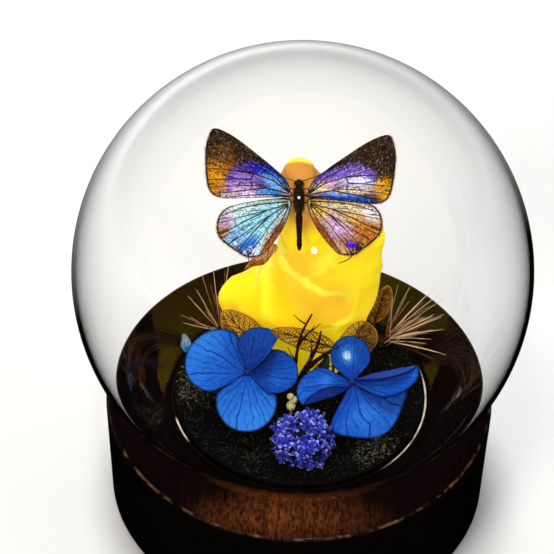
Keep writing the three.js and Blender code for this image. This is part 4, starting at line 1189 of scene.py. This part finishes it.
def sepalMaterial(name, look):
    # dried hydrangea sepal: papery and velvety, deep blue that pales outwards,
    # dark veins fanning from its claw, and a dark line of painted shade along its edge
    material, tree, shader = newMaterial(name, {
        "Roughness": look["roughness"], "IOR": 1.45, "Specular IOR Level": 0.25})
    blade = addNode(tree, "Attribute", {"attribute_name": "blade"})
    tone = addNode(tree, "Attribute", {"attribute_name": "tone"})
    place = addNode(tree, "TexCoord")
    parts = addNode(tree, "SeparateXYZ", {}, {"Vector": blade.outputs["Vector"]})
    mottle = addNode(tree, "TexNoise", {"Scale": 1 / (look["mottle"] * mm), "Detail": 4, "Roughness": 0.6},
                     {"Vector": place.outputs["Object"]})
    outward = addNode(tree, "Math", {"operation": "MULTIPLY_ADD", 1: 0.12},
                      {0: parts.outputs["Y"], 2: tone.outputs["Fac"]})
    amount = addNode(tree, "Math", {"operation": "MULTIPLY_ADD", 1: 0.5, 2: -0.25}, {0: mottle})
    total = addNode(tree, "Math", {"operation": "ADD"}, {0: outward, 1: amount})
    blue = addNode(tree, "ValToRGB", {
        "stops": [(0.2, look["deep"]), (0.5, look["blue"]), (0.8, look["pale"]), (1.0, look["whitest"])]},
        {"Fac": total})
    claw = addNode(tree, "Math", {"operation": "ADD", 1: sepalShape["clawAt"]}, {0: parts.outputs["Y"]})
    bearing = addNode(tree, "Math", {"operation": "ARCTAN2"}, {0: parts.outputs["X"], 1: claw})
    sway = addNode(tree, "TexNoise", {"Scale": 1 / (look["veinBend"] * mm), "Detail": 1},
                   {"Vector": place.outputs["Object"]})
    bent = addNode(tree, "Math", {"operation": "MULTIPLY_ADD", 1: 0.3}, {0: sway, 2: bearing})
    wander = addNode(tree, "Math", {"operation": "MULTIPLY_ADD", 1: 0.05}, {0: mottle, 2: bent})
    squareX = addNode(tree, "Math", {"operation": "MULTIPLY"},
                      {0: parts.outputs["X"], 1: parts.outputs["X"]})
    squareY = addNode(tree, "Math", {"operation": "MULTIPLY_ADD"}, {0: claw, 1: claw, 2: squareX})
    far = addNode(tree, "Math", {"operation": "SQRT"}, {0: squareY})
    veins = None
    # main veins run all the way, branches start part of the way out
    for times, begin, strong in veinShape["orders"]:
        spread = look["veinSpread"] * times
        phase = addNode(tree, "Math", {"operation": "MULTIPLY", 1: spread / math.pi}, {0: wander})
        wave = addNode(tree, "Math", {"operation": "PINGPONG", 1: 0.5}, {0: phase})
        wide = addNode(tree, "Math", {"operation": "MULTIPLY"}, {0: wave, 1: far})
        line = addNode(tree, "MapRange", {
            "From Min": veinShape["full"] * spread / 3, "From Max": veinShape["none"] * spread / 3,
            "To Min": strong, "To Max": 0.0}, {"Value": wide})
        start = addNode(tree, "MapRange", {"From Min": begin, "From Max": begin + 0.25}, {"Value": far})
        mask = addNode(tree, "Math", {"operation": "MULTIPLY"}, {0: line, 1: start})
        veins = mask if veins is None else addNode(tree, "Math", {"operation": "MAXIMUM"},
                                                   {0: veins, 1: mask})
    veined = addNode(tree, "Mix", {"data_type": "RGBA", mixSecond: linear(look["vein"])},
                     {mixFactor: veins, mixFirst: blue})
    below = addNode(tree, "MapRange", {"From Min": 0.2, "From Max": -0.2, "To Max": 0.5},
                    {"Value": parts.outputs["Z"]})
    sided = addNode(tree, "Mix", {"data_type": "RGBA", mixSecond: linear(look["under"])},
                    {mixFactor: below, mixFirst: veined})
    # the dark line along the edge is painted shade, standing for the sepal's thickness and the shadow under
    # its rim
    flatBlade = addNode(tree, "VectorMath", {"operation": "MULTIPLY", 1: (1, 1, 0)},
                        {0: blade.outputs["Vector"]})
    fromMiddle = addNode(tree, "VectorMath", {"operation": "LENGTH"}, {0: flatBlade})
    rim = addNode(tree, "MapRange", {"From Min": 0.92, "From Max": 0.99, "To Max": 0.9},
                  {"Value": fromMiddle})
    edged = addNode(tree, "Mix", {"data_type": "RGBA", mixSecond: linear(look["edge"])},
                    {mixFactor: rim, mixFirst: sided})
    tree.links.new(edged.outputs[mixColour], shader.inputs["Base Color"])
    relief = addNode(tree, "Math", {"operation": "SUBTRACT"}, {0: mottle, 1: veins})
    bumpFrom(tree, shader, relief, distance=0.12, strength=0.5)
    return material


blueSepal = sepalMaterial("driedBlueSepal", sepalLook)


def smoothstep(value, low, high):
    part = min(max((value - low) / (high - low), 0), 1)
    return part * part * (3 - 2 * part)


def sepalPoint(a, b, length, width, cup, droop, foldAt, foldAngle, blunt):
    # a blunt sepal has corners at its tip and sides
    slant, counter = abs(a + b) / math.sqrt(2), abs(a - b) / math.sqrt(2)
    away = max(math.hypot(a, b), 1e-6)
    corner = away / max((slant ** blunt + counter ** blunt) ** (1 / blunt), 1e-6)
    grow = 1 + (corner - 1) * smoothstep(b, -0.6, 0.2)
    a, b = a * grow, b * grow
    run = (b + 1) / 2
    narrow = sepalShape["narrow"]
    halfWidth = width / 2 * (narrow + (1 - narrow) * smoothstep(run, 0, sepalShape["fullAt"]))
    side = math.copysign(1, foldAt)   # a fold with a minus sign is on the other edge
    past = max(0, (a * side - abs(foldAt)) * halfWidth)
    flat = a * side * halfWidth - past
    bend = math.radians(foldAngle)
    bearing = math.atan2(a, b + sepalShape["clawAt"])
    ripple = sepalShape["ripple"] * math.cos(bearing * sepalShape["ripples"])
    wave = math.sin(bearing * sepalShape["waves"] + length) * (a * a + b * b)
    ruffle = sepalShape["ruffle"] * (ripple + wave) * run
    along = sepalShape["start"] + run * (length - sepalShape["start"])
    height = cup * a * a - droop * run * run + past * math.sin(bend) + ruffle
    return Vector((-side * (flat + past * math.cos(bend)), along, height))


def makeHydrangeas():
    for side, flower in hydrangeas.items():
        tilt = Matrix.Rotation(math.radians(flower["tilt"]), 4, "X")
        stand = Matrix.Translation(Vector(flower["centre"])) @ tilt
        for index, (turn, lift, *shape, tone, pale) in enumerate(flower["sepals"], 1):
            place = (stand @ Matrix.Rotation(math.radians(turn - 90), 4, "Z")
                     @ Matrix.Rotation(math.radians(lift), 4, "X"))
            points, faces, blade = sheetMesh(lambda a, b: sepalPoint(a, b, *shape),
                                             sepalShape["steps"], sepalShape["thickness"])
            paleA, paleB, paler, wide = pale
            tones = [tone + paler * math.exp(-((a - paleA) ** 2 + (b - paleB) ** 2) / wide ** 2)
                     for a, b, s in blade]
            marks = {"blade": [(a, b, -s) for a, b, s in blade], "tone": tones}
            makePiece(f"sepal_{side}_{index}", [place @ p for p in points], faces, [blueSepal],
                      f"hydrangea_{side}_sepal_{index}", "blue_sepal", marks=marks)


makeHydrangeas()

stem = {"radius": 0.55, "budRadius": 0.78, "sway": 0.12, "underBud": 0.9}
stemLook = {"green": "#1c2620", "violet": "#1a2054", "bud": "#20307c", "fleck": 0.5}


def stemMaterial():
    # dried flower stalk and bud: dull green-brown below, violet-blue where the sepals meet
    return fleckedMaterial("driedStalk", {"Roughness": 0.75}, stemLook["fleck"],
                           [(0.2, stemLook["green"]), (0.7, stemLook["violet"]), (1.0, stemLook["bud"])],
                           mark="shade", share=0.3, bump=0.1)


def makeStems():
    material = stemMaterial()
    for side, flower in hydrangeas.items():
        x, y, z = flower["centre"]
        pile = MeshPile()
        ground = mossTop(x, y)
        sway, rise = stem["sway"], z - stem["underBud"] - ground
        line = [Vector((x + sway * math.sin(k * 0.9), y + sway * math.cos(k * 0.7), ground + rise * k / 12))
                for k in range(13)]
        points, faces = tube(line, lambda t: stem["radius"] * (1.15 - 0.25 * t + 0.06 * math.sin(t * 40)),
                             12)
        pile.add(points, faces, shade=[0.1 + 0.5 * (p.z - ground) / (z - ground) for p in points])
        points, faces = lathe(ballProfile(stem["budRadius"], 14), 32)
        bud = []
        for p in points:   # four lobes press together
            angle = math.atan2(p.y, p.x)
            squeeze = 0.82 + 0.18 * abs(math.cos(2 * angle))
            bud.append(Vector((x + p.x * squeeze, y + p.y * squeeze, z + p.z)))
        pile.add(bud, faces, shade=[0.7 + 0.2 * (p.z - z) for p in bud])
        makePiece(f"stalk_{side}", pile.points, pile.faces, [material], f"hydrangea_{side}_stem",
                  "flower_stem", marks=pile.marks)


makeStems()

print("stage: leaves and small flowers")

# single leaves: the two ends of the midrib, the way the face looks, width, cupping,
# and how heavy the strands of a net are
looseSepal = {"foot": (-25.3, 9, 30.6), "tip": (-26.4, 10.6, 35), "face": (0.5, -0.6, 0.6), "width": 3,
              "cup": 0.4}
drySepal = {"foot": (3, -4.4, 31), "tip": (6.3, -1.8, 43), "face": (-0.2, -0.9, 0.4), "width": 3.2,
            "cup": 0.9}
skeletonLeaves = {
    "left": {"foot": (-8.6, 1.6, 39.6), "tip": (-17.2, 6.6, 47), "face": (-0.2, -0.85, 0.5), "width": 8.6,
             "cup": 0.4, "heavy": 1},
    "right": {"foot": (12.6, 3, 36), "tip": (12.7, 4.2, 47.2), "face": (0.4, -0.85, 0.3), "width": 10.6,
              "cup": -0.4, "heavy": 1},
    "middle": {"foot": (7.4, 1.2, 42), "tip": (-6.4, 1.7, 46.6), "face": (0, -0.9, 0.4), "width": 5.2,
               "cup": 0.2, "heavy": 1},
    "side": {"foot": (16.4, 19.2, 31.4), "tip": (18.9, 16.6, 46.2), "face": (0.2, -0.8, 0.5), "width": 5,
             "cup": 0.4, "heavy": 1.2},
    "back": {"foot": (-12, 23.6, 31.4), "tip": (-6.4, 25, 49), "face": (0, -0.9, 0.3), "width": 8,
             "cup": -0.6, "heavy": 1.6},
}
# the net's cells are about twice as wide as real ones, so that they show
# the gold is partly a painted highlight of the stone's light through the net
leafLook = {"brown": "#2c1608", "rust": "#7c4a18", "gold": "#d8a044", "fleck": 2.2}
leafShape = {"taper": 0.35, "curl": 0.6, "cell": 0.64, "strand": 0.115, "rib": 0.24, "sideRibs": 6,
             "stalk": 0.3, "thickness": 0.14, "edge": 1.3, "ribFrom": -0.85, "ribSpan": 1.45,
             "ribRise": 0.55, "sideRib": 0.55, "crumple": 0.35, "crumpleSize": 0.55}


def leafPoint(leaf):
    foot = Vector(leaf["foot"])
    along = Vector(leaf["tip"]) - foot
    side = along.cross(Vector(leaf["face"])).normalized()
    out = side.cross(along).normalized()

    def pointAt(a, b):
        run = (b + 1) / 2
        halfWidth = leaf["width"] / 2 * (1 - leafShape["taper"] * run * run)
        cup = leaf["cup"] * (a * a + leafShape["curl"] * b * b)
        return foot + along * run + side * (a * halfWidth) + out * cup
    return pointAt, along, out


def leafMaterial():
    # skeleton leaf: only the veins are left, bleached gold where they are thin, the brightest gold partly a
    # painted highlight of the stone's light through them, and brown on the ribs
    return fleckedMaterial("leafSkeleton", {"Roughness": 0.6, "IOR": 1.45, "Specular IOR Level": 0.3},
                           leafLook["fleck"],
                           [(0.2, leafLook["brown"]), (0.5, leafLook["rust"]), (0.75, leafLook["gold"])],
                           mark="shade", share=0.7, bump=0.1)


def netStrands(leaf):
    # cells of a leaf's net: neighbours' middles joined over a scatter of points on the leaf
    along = (Vector(leaf["tip"]) - Vector(leaf["foot"])).length
    halfWidth, halfLength, cell = leaf["width"] / 2, along / 2, leafShape["cell"]
    spots = []
    for row in range(int(2 * halfLength / cell) + 1):
        for column in range(int(2 * halfWidth / cell) + 1):
            a = (column * cell + dice.uniform(-0.3, 0.3) * cell + (row % 2) * cell / 2) / halfWidth - 1
            b = (row * cell + dice.uniform(-0.3, 0.3) * cell) / halfLength - 1
            if a * a + b * b < 0.97:
                spots.append((a, b))
    rim = int(math.pi * (halfWidth + halfLength) / cell)
    spots += [(math.cos(2 * math.pi * k / rim), math.sin(2 * math.pi * k / rim)) for k in range(rim)]
    scaled = [Vector((a * halfWidth, b * halfLength)) for a, b in spots]
    made = delaunay_2d_cdt(scaled, [], [], 0, 1e-5)
    middles, owners, strands = [], {}, []
    for triangle in made[2]:
        middle = sum((made[0][i] for i in triangle), Vector((0, 0))) / 3
        middles.append((middle.x / halfWidth, middle.y / halfLength))
        for here, there in zip(triangle, triangle[1:] + triangle[:1]):
            owners.setdefault(frozenset((here, there)), []).append(len(middles) - 1)
    for pair in owners.values():
        if len(pair) == 2:
            strands.append((middles[pair[0]], middles[pair[1]]))
    edge = [(math.cos(2 * math.pi * k / (2 * rim)), math.sin(2 * math.pi * k / (2 * rim)))
            for k in range(2 * rim)]
    return strands, list(zip(edge, edge[1:] + edge[:1]))


def makeSkeletonLeaves():
    material = leafMaterial()
    for name, leaf in skeletonLeaves.items():
        pointAt, along, out = leafPoint(leaf)
        pile = MeshPile()
        strands, edges = netStrands(leaf)
        strand = leafShape["strand"] * leaf["heavy"]
        for group, radius in ((strands, strand), (edges, strand * leafShape["edge"])):
            for here, there in group:
                points, faces = tube([pointAt(*here), pointAt(*there)], lambda t: radius, 4, 0.8, out)
                pile.add(points, faces, shade=0.22 + 0.2 * dice.random())
        ribs = [([(0, -1 + 0.2 * k) for k in range(11)], leafShape["rib"])]
        for k in range(leafShape["sideRibs"]):
            rise = leafShape["ribRise"]
            start = leafShape["ribFrom"] + leafShape["ribSpan"] * k / leafShape["sideRibs"]
            for sign in (1, -1):
                # ends just inside the leaf's edge
                reach = 0.97 * math.sqrt(max(0.05, 1 - min(1, start + rise) ** 2))
                path = [(sign * reach * t, start + rise * t ** 0.8) for t in (0, 0.25, 0.5, 0.75, 1)]
                ribs.append((path, leafShape["rib"] * leafShape["sideRib"]))
        for rib, radius in ribs:
            line = [pointAt(a, b) + out * 0.05 for a, b in rib if a * a + b * b <= 1.0]
            if len(line) > 1:
                points, faces = tube(line, lambda t: radius * (1 - 0.6 * t), 6, 0.9, out)
                pile.add(points, faces, shade=0.05)
        x, y, z = leaf["foot"]
        ground = mossTop(x, y)
        line = [Vector((x + 0.1 * math.sin(k), y, ground + (z + 1 - ground) * k / 8)) for k in range(9)]
        points, faces = tube(line, lambda t: leafShape["stalk"] * (1.2 - 0.5 * t), 8)
        pile.add(points, faces, shade=0.0)
        makePiece(f"leafNet_{name}", pile.points, pile.faces, [material], f"skeleton_leaf_{name}",
                  "skeleton_leaf", marks=pile.marks)


makeSkeletonLeaves()

dryLook = {"deep": "#141a20", "blue": "#232f38", "pale": "#3c4c52", "whitest": "#6a7672", "vein": "#0a0c10",
           "under": "#2a2626", "edge": "#0a0c10", "mottle": 0.9, "veinSpread": 6.0, "veinBend": 5.5,
           "roughness": 0.7}


def makeSingleSepals():
    for name, leaf, material, tone, node, slot in (
            ("looseSepal", looseSepal, blueSepal, 0.9, "loose_sepal", "blue_sepal"),
            ("folded_dry_sepal", drySepal, sepalMaterial("witheredSepal", dryLook), 0.5, "dry_sepal",
             "dry_sepal")):
        pointAt, along, out = leafPoint(leaf)

        def crumpled(a, b):
            spot = pointAt(a, b)
            bulge = noise.noise(spot * leafShape["crumpleSize"] + Vector((9, 2, 5)))
            return spot + out * (leafShape["crumple"] * bulge * (0.4 + abs(a)))
        points, faces, blade = sheetMesh(crumpled, 32, leafShape["thickness"])
        makePiece(name, points, faces, [material], node, slot,
                  marks={"blade": blade, "tone": [tone] * len(points)})


makeSingleSepals()

cluster = {"centre": (1, -18.6, 33.9), "florets": 170, "petals": 6, "length": (1.4, 2.5), "width": 0.56,
           "splay": 0.75, "heart": 0.62, "inset": 0.7, "clear": 0.6, "attempts": 4000,
           "lobeShapes": [(0, 0, 0.8, 3.5), (-3.0, 1.3, 0.2, 2.6), (1.6, 2.8, 1, 2.7), (3.4, 0, 0.2, 2.6),
                          (1.8, -3.6, -0.6, 2.7), (-2.2, -3.1, -0.6, 2.8)]}
clusterLook = {"throatShade": "#060620", "blue": "#12168a", "tip": "#3038c8", "edge": "#a4acfa", "fleck": 0.6}


def floretMaterial():
    # dried statice florets: thin frilled paper, dark indigo in the throat, partly painted shade, and lilac
    # towards the tips, partly a painted highlight
    look = clusterLook
    return fleckedMaterial("driedFloret", {"Roughness": 0.65, "Sheen Weight": 0.15}, look["fleck"],
                           [(0.3, look["throatShade"]), (0.6, look["blue"]), (0.85, look["tip"]),
                            (1.0, look["edge"])],
                           mark="reach", share=0.4, bump=0.1)


def makeCluster():
    pile = MeshPile()
    centre = Vector(cluster["centre"])
    lobes = [(centre + Vector(lobe[:3]), lobe[3]) for lobe in cluster["lobeShapes"]]
    for middle, radius in lobes:   # dark calyces fill the heart of the flower, their near-black partly a painted shade in the gaps between florets
        ball, faces = lathe(ballProfile(cluster["heart"] * radius, 8), 14)
        pile.add([middle + p * (1 + 0.25 * noise.noise(p * 1.3)) for p in ball], faces, reach=0.0)
    placed = 0
    for attempt in range(cluster["attempts"]):
        middle, radius = lobes[attempt % len(lobes)]
        out = Vector((dice.gauss(0, 1), dice.gauss(0, 1), dice.gauss(0.25, 1))).normalized()
        mouth = middle + out * (radius - cluster["inset"])
        if mouth.z < mossTop(mouth.x, mouth.y) + cluster["clear"]:
            continue
        if any((mouth - other).length < size * 0.75 for other, size in lobes if other != middle):
            continue
        turn = out.to_track_quat("Z", "Y").to_matrix()
        spin = dice.uniform(0, 2 * math.pi)
        for petal in range(cluster["petals"]):   # narrow straps that splay from the floret's throat
            angle = spin + 2 * math.pi * petal / cluster["petals"] + dice.gauss(0, 0.25)
            length, splay = dice.uniform(*cluster["length"]), cluster["splay"] * dice.uniform(0.5, 1.5)
            aside = turn @ Vector((math.cos(angle), math.sin(angle), 0))
            line = [mouth + out * (length * (t - 0.25 * t * t)) + aside * (0.12 + length * splay * t * t)
                    for t in (0, 0.3, 0.6, 0.85, 1)]
            wide = cluster["width"] * dice.uniform(0.7, 1.25)
            points, faces = tube(line, lambda t: wide * (0.35 + 0.9 * t - 0.75 * t ** 3), 6, 0.22, out)
            tone = dice.uniform(0.0, 0.25)
            pile.add(points, faces, reach=[tone + 0.62 * (i // 6) / 4 for i in range(len(points))])
        placed += 1
        if placed == cluster["florets"]:
            break
    makePiece("floretCluster", pile.points, pile.faces, [floretMaterial()], "cluster_flower",
              "violet_flower", marks=pile.marks)


makeCluster()

buds = {"heads": [(-1.7, -9.6, 34.4, 1.1), (-1.2, -9, 35.7, 0.95), (-1.9, -9.1, 36.9, 0.8)], "stalk": 0.3,
        "ribs": 7}
budLook = {"cream": "#efe7b4", "straw": "#c9b878", "shade": "#5e5a30", "fleck": 0.5}


def makeBuds():
    # dried buds: papery cream scales over a straw-coloured heart
    material = fleckedMaterial("paperyBud", {"Roughness": 0.7}, budLook["fleck"],
                               [(0.15, budLook["shade"]), (0.5, budLook["straw"]),
                                (0.85, budLook["cream"])],
                               mark="shade", share=0.45, bump=0.15)
    pile = MeshPile()
    x, y, top, _ = buds["heads"][0]
    ground = mossTop(x, y)
    line = [Vector((x + 0.08 * math.sin(2 * k), y, ground + (top - ground) * k / 8)) for k in range(9)]
    points, faces = tube(line, lambda t: buds["stalk"] * (1.1 - 0.2 * t), 8)
    pile.add(points, faces, shade=0.1)
    for hx, hy, hz, radius in buds["heads"]:
        ball, faces = lathe(ballProfile(radius, 16), 35)
        head, tones = [], []
        for p in ball:
            angle = math.atan2(p.y, p.x)
            ribs = abs(math.cos(buds["ribs"] * angle / 2 + 1.5 * p.z / radius))
            head.append(Vector((hx, hy, hz)) + p * (0.84 + 0.16 * ribs))
            tones.append(0.15 + 0.55 * ribs)
        pile.add(head, faces, shade=tones)
    makePiece("creamBuds", pile.points, pile.faces, [material], "cream_buds", "cream_bud", marks=pile.marks)


makeBuds()

print("stage: grass and twigs")

# each blade: compass angle, rise and length from the middle of its tuft
grass = {
    "right": {"root": (18.6, 14.8), "sag": 0.12, "blades": [
        (22, 47, 17.5), (20, 41, 16.5), (9, 39, 17), (-4, 45, 11), (-2, 38, 13.5), (-1, 30, 14.5),
        (6, 27, 15), (-13, 27, 12.6), (-7, 20, 14), (-28, 10, 13.5), (-24, 9, 15.6), (34, 66, 15),
        (50, 72, 14.6), (-17, 33, 9.6)]},
    "left": {"root": (-18, 16.4), "sag": -0.05, "blades": [
        (176, 75, 17), (140, 82, 18.6), (70, 80, 18.6), (190, 57, 13.4), (194, 34, 11), (198, 25, 9.6),
        (182, 66, 13.4)]},
}
grassShape = {"radius": 0.18, "tip": 0.04, "start": 0.4, "ground": 0.5, "spread": 1.3, "extra": 2,
              "wobble": 6.5, "tuft": 1.7, "sink": 0.8, "sway": 0.04}
grassLook = {"brown": "#1e0c06", "rust": "#7c3a1c", "tan": "#f6d4b0", "fleck": 1.5, "palest": 0.75,
             "outward": 0.45}


def grassMaterial():
    # dry grass: hollow straws, tan where they catch light and rust-brown near the root
    return fleckedMaterial("dryStraw", {"Roughness": 0.5, "IOR": 1.5, "Specular IOR Level": 0.4},
                           grassLook["fleck"],
                           [(0.2, grassLook["brown"]), (0.55, grassLook["rust"]), (0.95, grassLook["tan"])],
                           mark="shade", share=0.4, bump=0.08)


def makeGrass():
    material = grassMaterial()
    for side, tuft in grass.items():
        pile = MeshPile()
        x, y = tuft["root"]
        ground = mossTop(x, y) + grassShape["ground"]
        for compass, rise, length in tuft["blades"]:
            for copy in range(grassShape["extra"] + 1):
                turn, lift = compass, rise
                reach, shift = length, Vector((0, 0, 0))
                if copy:   # thinner blades beside the main one
                    turn += dice.gauss(0, grassShape["wobble"])
                    lift += dice.gauss(0, grassShape["wobble"])
                    reach *= dice.uniform(0.55, 0.9)
                    shift = Vector((dice.gauss(0, 0.5), dice.gauss(0, 0.5), 0)) * grassShape["spread"]
                turn, lift = math.radians(turn), math.radians(lift)
                level, height = reach * math.cos(lift), reach * math.sin(lift)
                heading = Vector((math.cos(turn), math.sin(turn), 0))
                bend = dice.uniform(-grassShape["sway"], grassShape["sway"])
                line = []
                for k in range(13):
                    part = k / 12
                    arch = tuft["sag"] * length * part * (1 - part)
                    sway = heading.cross(Vector((0, 0, 1))) * (bend * reach * part * part)
                    climb = grassShape["start"] - grassShape["sink"] * (1 - part) + height * part + arch
                    line.append(Vector((x, y, ground)) + shift * (1 - part) + heading * (level * part)
                                + sway
                                + Vector((0, 0, climb)))
                thick = 1.0 if not copy else dice.uniform(0.45, 0.8)
                points, faces = tube(line, lambda t: thick
                                     * (grassShape["radius"] * (1 - t) + grassShape["tip"] * t), 6)
                pale = grassLook["palest"] * dice.random() ** 1.5
                tones = [pale + grassLook["outward"] * (i // 6) / 12 for i in range(len(points))]
                pile.add(points, faces, shade=tones)
        wide = grassShape["tuft"]
        clump = [(0, -0.5), (wide, -0.5), (wide * 0.95, 0.3), (wide * 0.7, 0.9), (0, 1.2)]
        points, faces = lathe(clump, 24)
        lumpy = [Vector((x, y, ground)) + p * (1 + 0.25 * noise.noise(p * 1.4)) for p in points]
        pile.add(lumpy, faces, shade=0.0)
        makePiece(f"straw_{side}", pile.points, pile.faces, [material], f"grass_tuft_{side}", "dry_grass",
                  marks=pile.marks)


makeGrass()

# twigs as paths with the radius at each end, the first one the stout stem
twigs = [
    ([(-1.2, -3.6, 30.6), (-0.5, -2.6, 34), (2.3, -1.2, 38.6), (7.4, -0.4, 43.2)], 1.0, 0.45),
    ([(-1, -3, 33), (-1, -1.4, 38), (-0.2, -0.4, 46.4), (2.3, 0.9, 52.9)], 0.62, 0.2),
    ([(-0.4, -0.7, 44.5), (0.6, -0.4, 46.4), (2.1, 0, 48.4)], 0.4, 0.16),
    ([(0.4, -1.9, 36.4), (3.4, -0.9, 43.4), (4.4, 0.1, 48.4)], 0.58, 0.2),
    ([(-0.6, -3.2, 32), (-1.8, -2.2, 38), (-3.4, -1.4, 43.5)], 0.32, 0.08),
    ([(0, -3, 33), (1.6, -1.8, 38.5), (2.6, -1, 44.6)], 0.34, 0.08),
    ([(0.6, -2.8, 33.5), (4.6, -2, 37.6), (9, -1.8, 40.6)], 0.32, 0.08),
    ([(-0.4, -3.2, 33), (-0.9, -2.4, 39), (-0.7, -1.8, 45)], 0.3, 0.08),
    ([(1, -2.4, 35), (5, -1.4, 40.5), (7.6, -0.8, 45)], 0.3, 0.08),
]
twigLook = {"dark": "#120808", "bark": "#30170f", "pale": "#7a4c3a", "spurs": 26, "spurLength": (1.6, 4.8),
            "spurRadius": 0.22, "barkWidth": 0.35, "barkLength": 1.4, "uneven": 0.06}


def twigMaterial():
    # dry heather twig: purple-brown bark, rough, paler on the worn ridges
    material, tree, shader = newMaterial("dryBark", {"Roughness": 0.7})
    place = addNode(tree, "TexCoord")
    across, along = 1 / (twigLook["barkWidth"] * mm), 1 / (twigLook["barkLength"] * mm)
    stretch = addNode(tree, "Mapping", {"Scale": (across, across, along)},
                      {"Vector": place.outputs["Object"]})
    bark = addNode(tree, "TexNoise", {"Scale": 1, "Detail": 4}, {"Vector": stretch})
    colour = addNode(tree, "ValToRGB", {
        "stops": [(0.35, twigLook["dark"]), (0.55, twigLook["bark"]), (0.75, twigLook["pale"])]},
        {"Fac": bark})
    tree.links.new(colour.outputs["Color"], shader.inputs["Base Color"])
    bumpFrom(tree, shader, bark, distance=0.2)
    return material


def makeTwigs():
    pile = MeshPile()
    lines = []
    for path, first, last in twigs:
        line = spline(path, 10)
        lines.append((line, first, last))
        knots = [dice.random() for _ in range(3)]

        def thickness(t):
            swell = sum(0.35 * math.exp(-((t - knot) / 0.03) ** 2) for knot in knots)
            return (first + (last - first) * t) * (0.9 + 0.2 * swell)
        points, faces = tube(line, thickness, 10)
        rough = twigLook["uneven"]
        pile.add([p
                  + Vector((rough * noise.noise(p * 2), rough * noise.noise(p * 2 + Vector((5, 5, 5))), 0))
                  for p in points], faces)
    for _ in range(twigLook["spurs"]):   # short side spurs
        line, first, last = lines[dice.randrange(len(lines))]
        index = dice.randrange(2, len(line) - 1)
        along = (line[index] - line[index - 1]).normalized()
        out = along * dice.uniform(0.6, 1.4)
        out += Vector((dice.gauss(0, 1), dice.gauss(-0.3, 0.5), dice.gauss(0.3, 0.5)))
        out.normalize()
        root, length = line[index], dice.uniform(*twigLook["spurLength"])
        spur = [root, root + out * (0.5 * length), root + out * length + Vector((0, 0, 0.15 * length))]
        points, faces = tube(spur, lambda t: twigLook["spurRadius"] * (1 - 0.7 * t), 5)
        pile.add(points, faces)
    makePiece("heatherTwig", pile.points, pile.faces, [twigMaterial()], "twig_sprig", "twig")


makeTwigs()

bpy.context.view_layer.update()
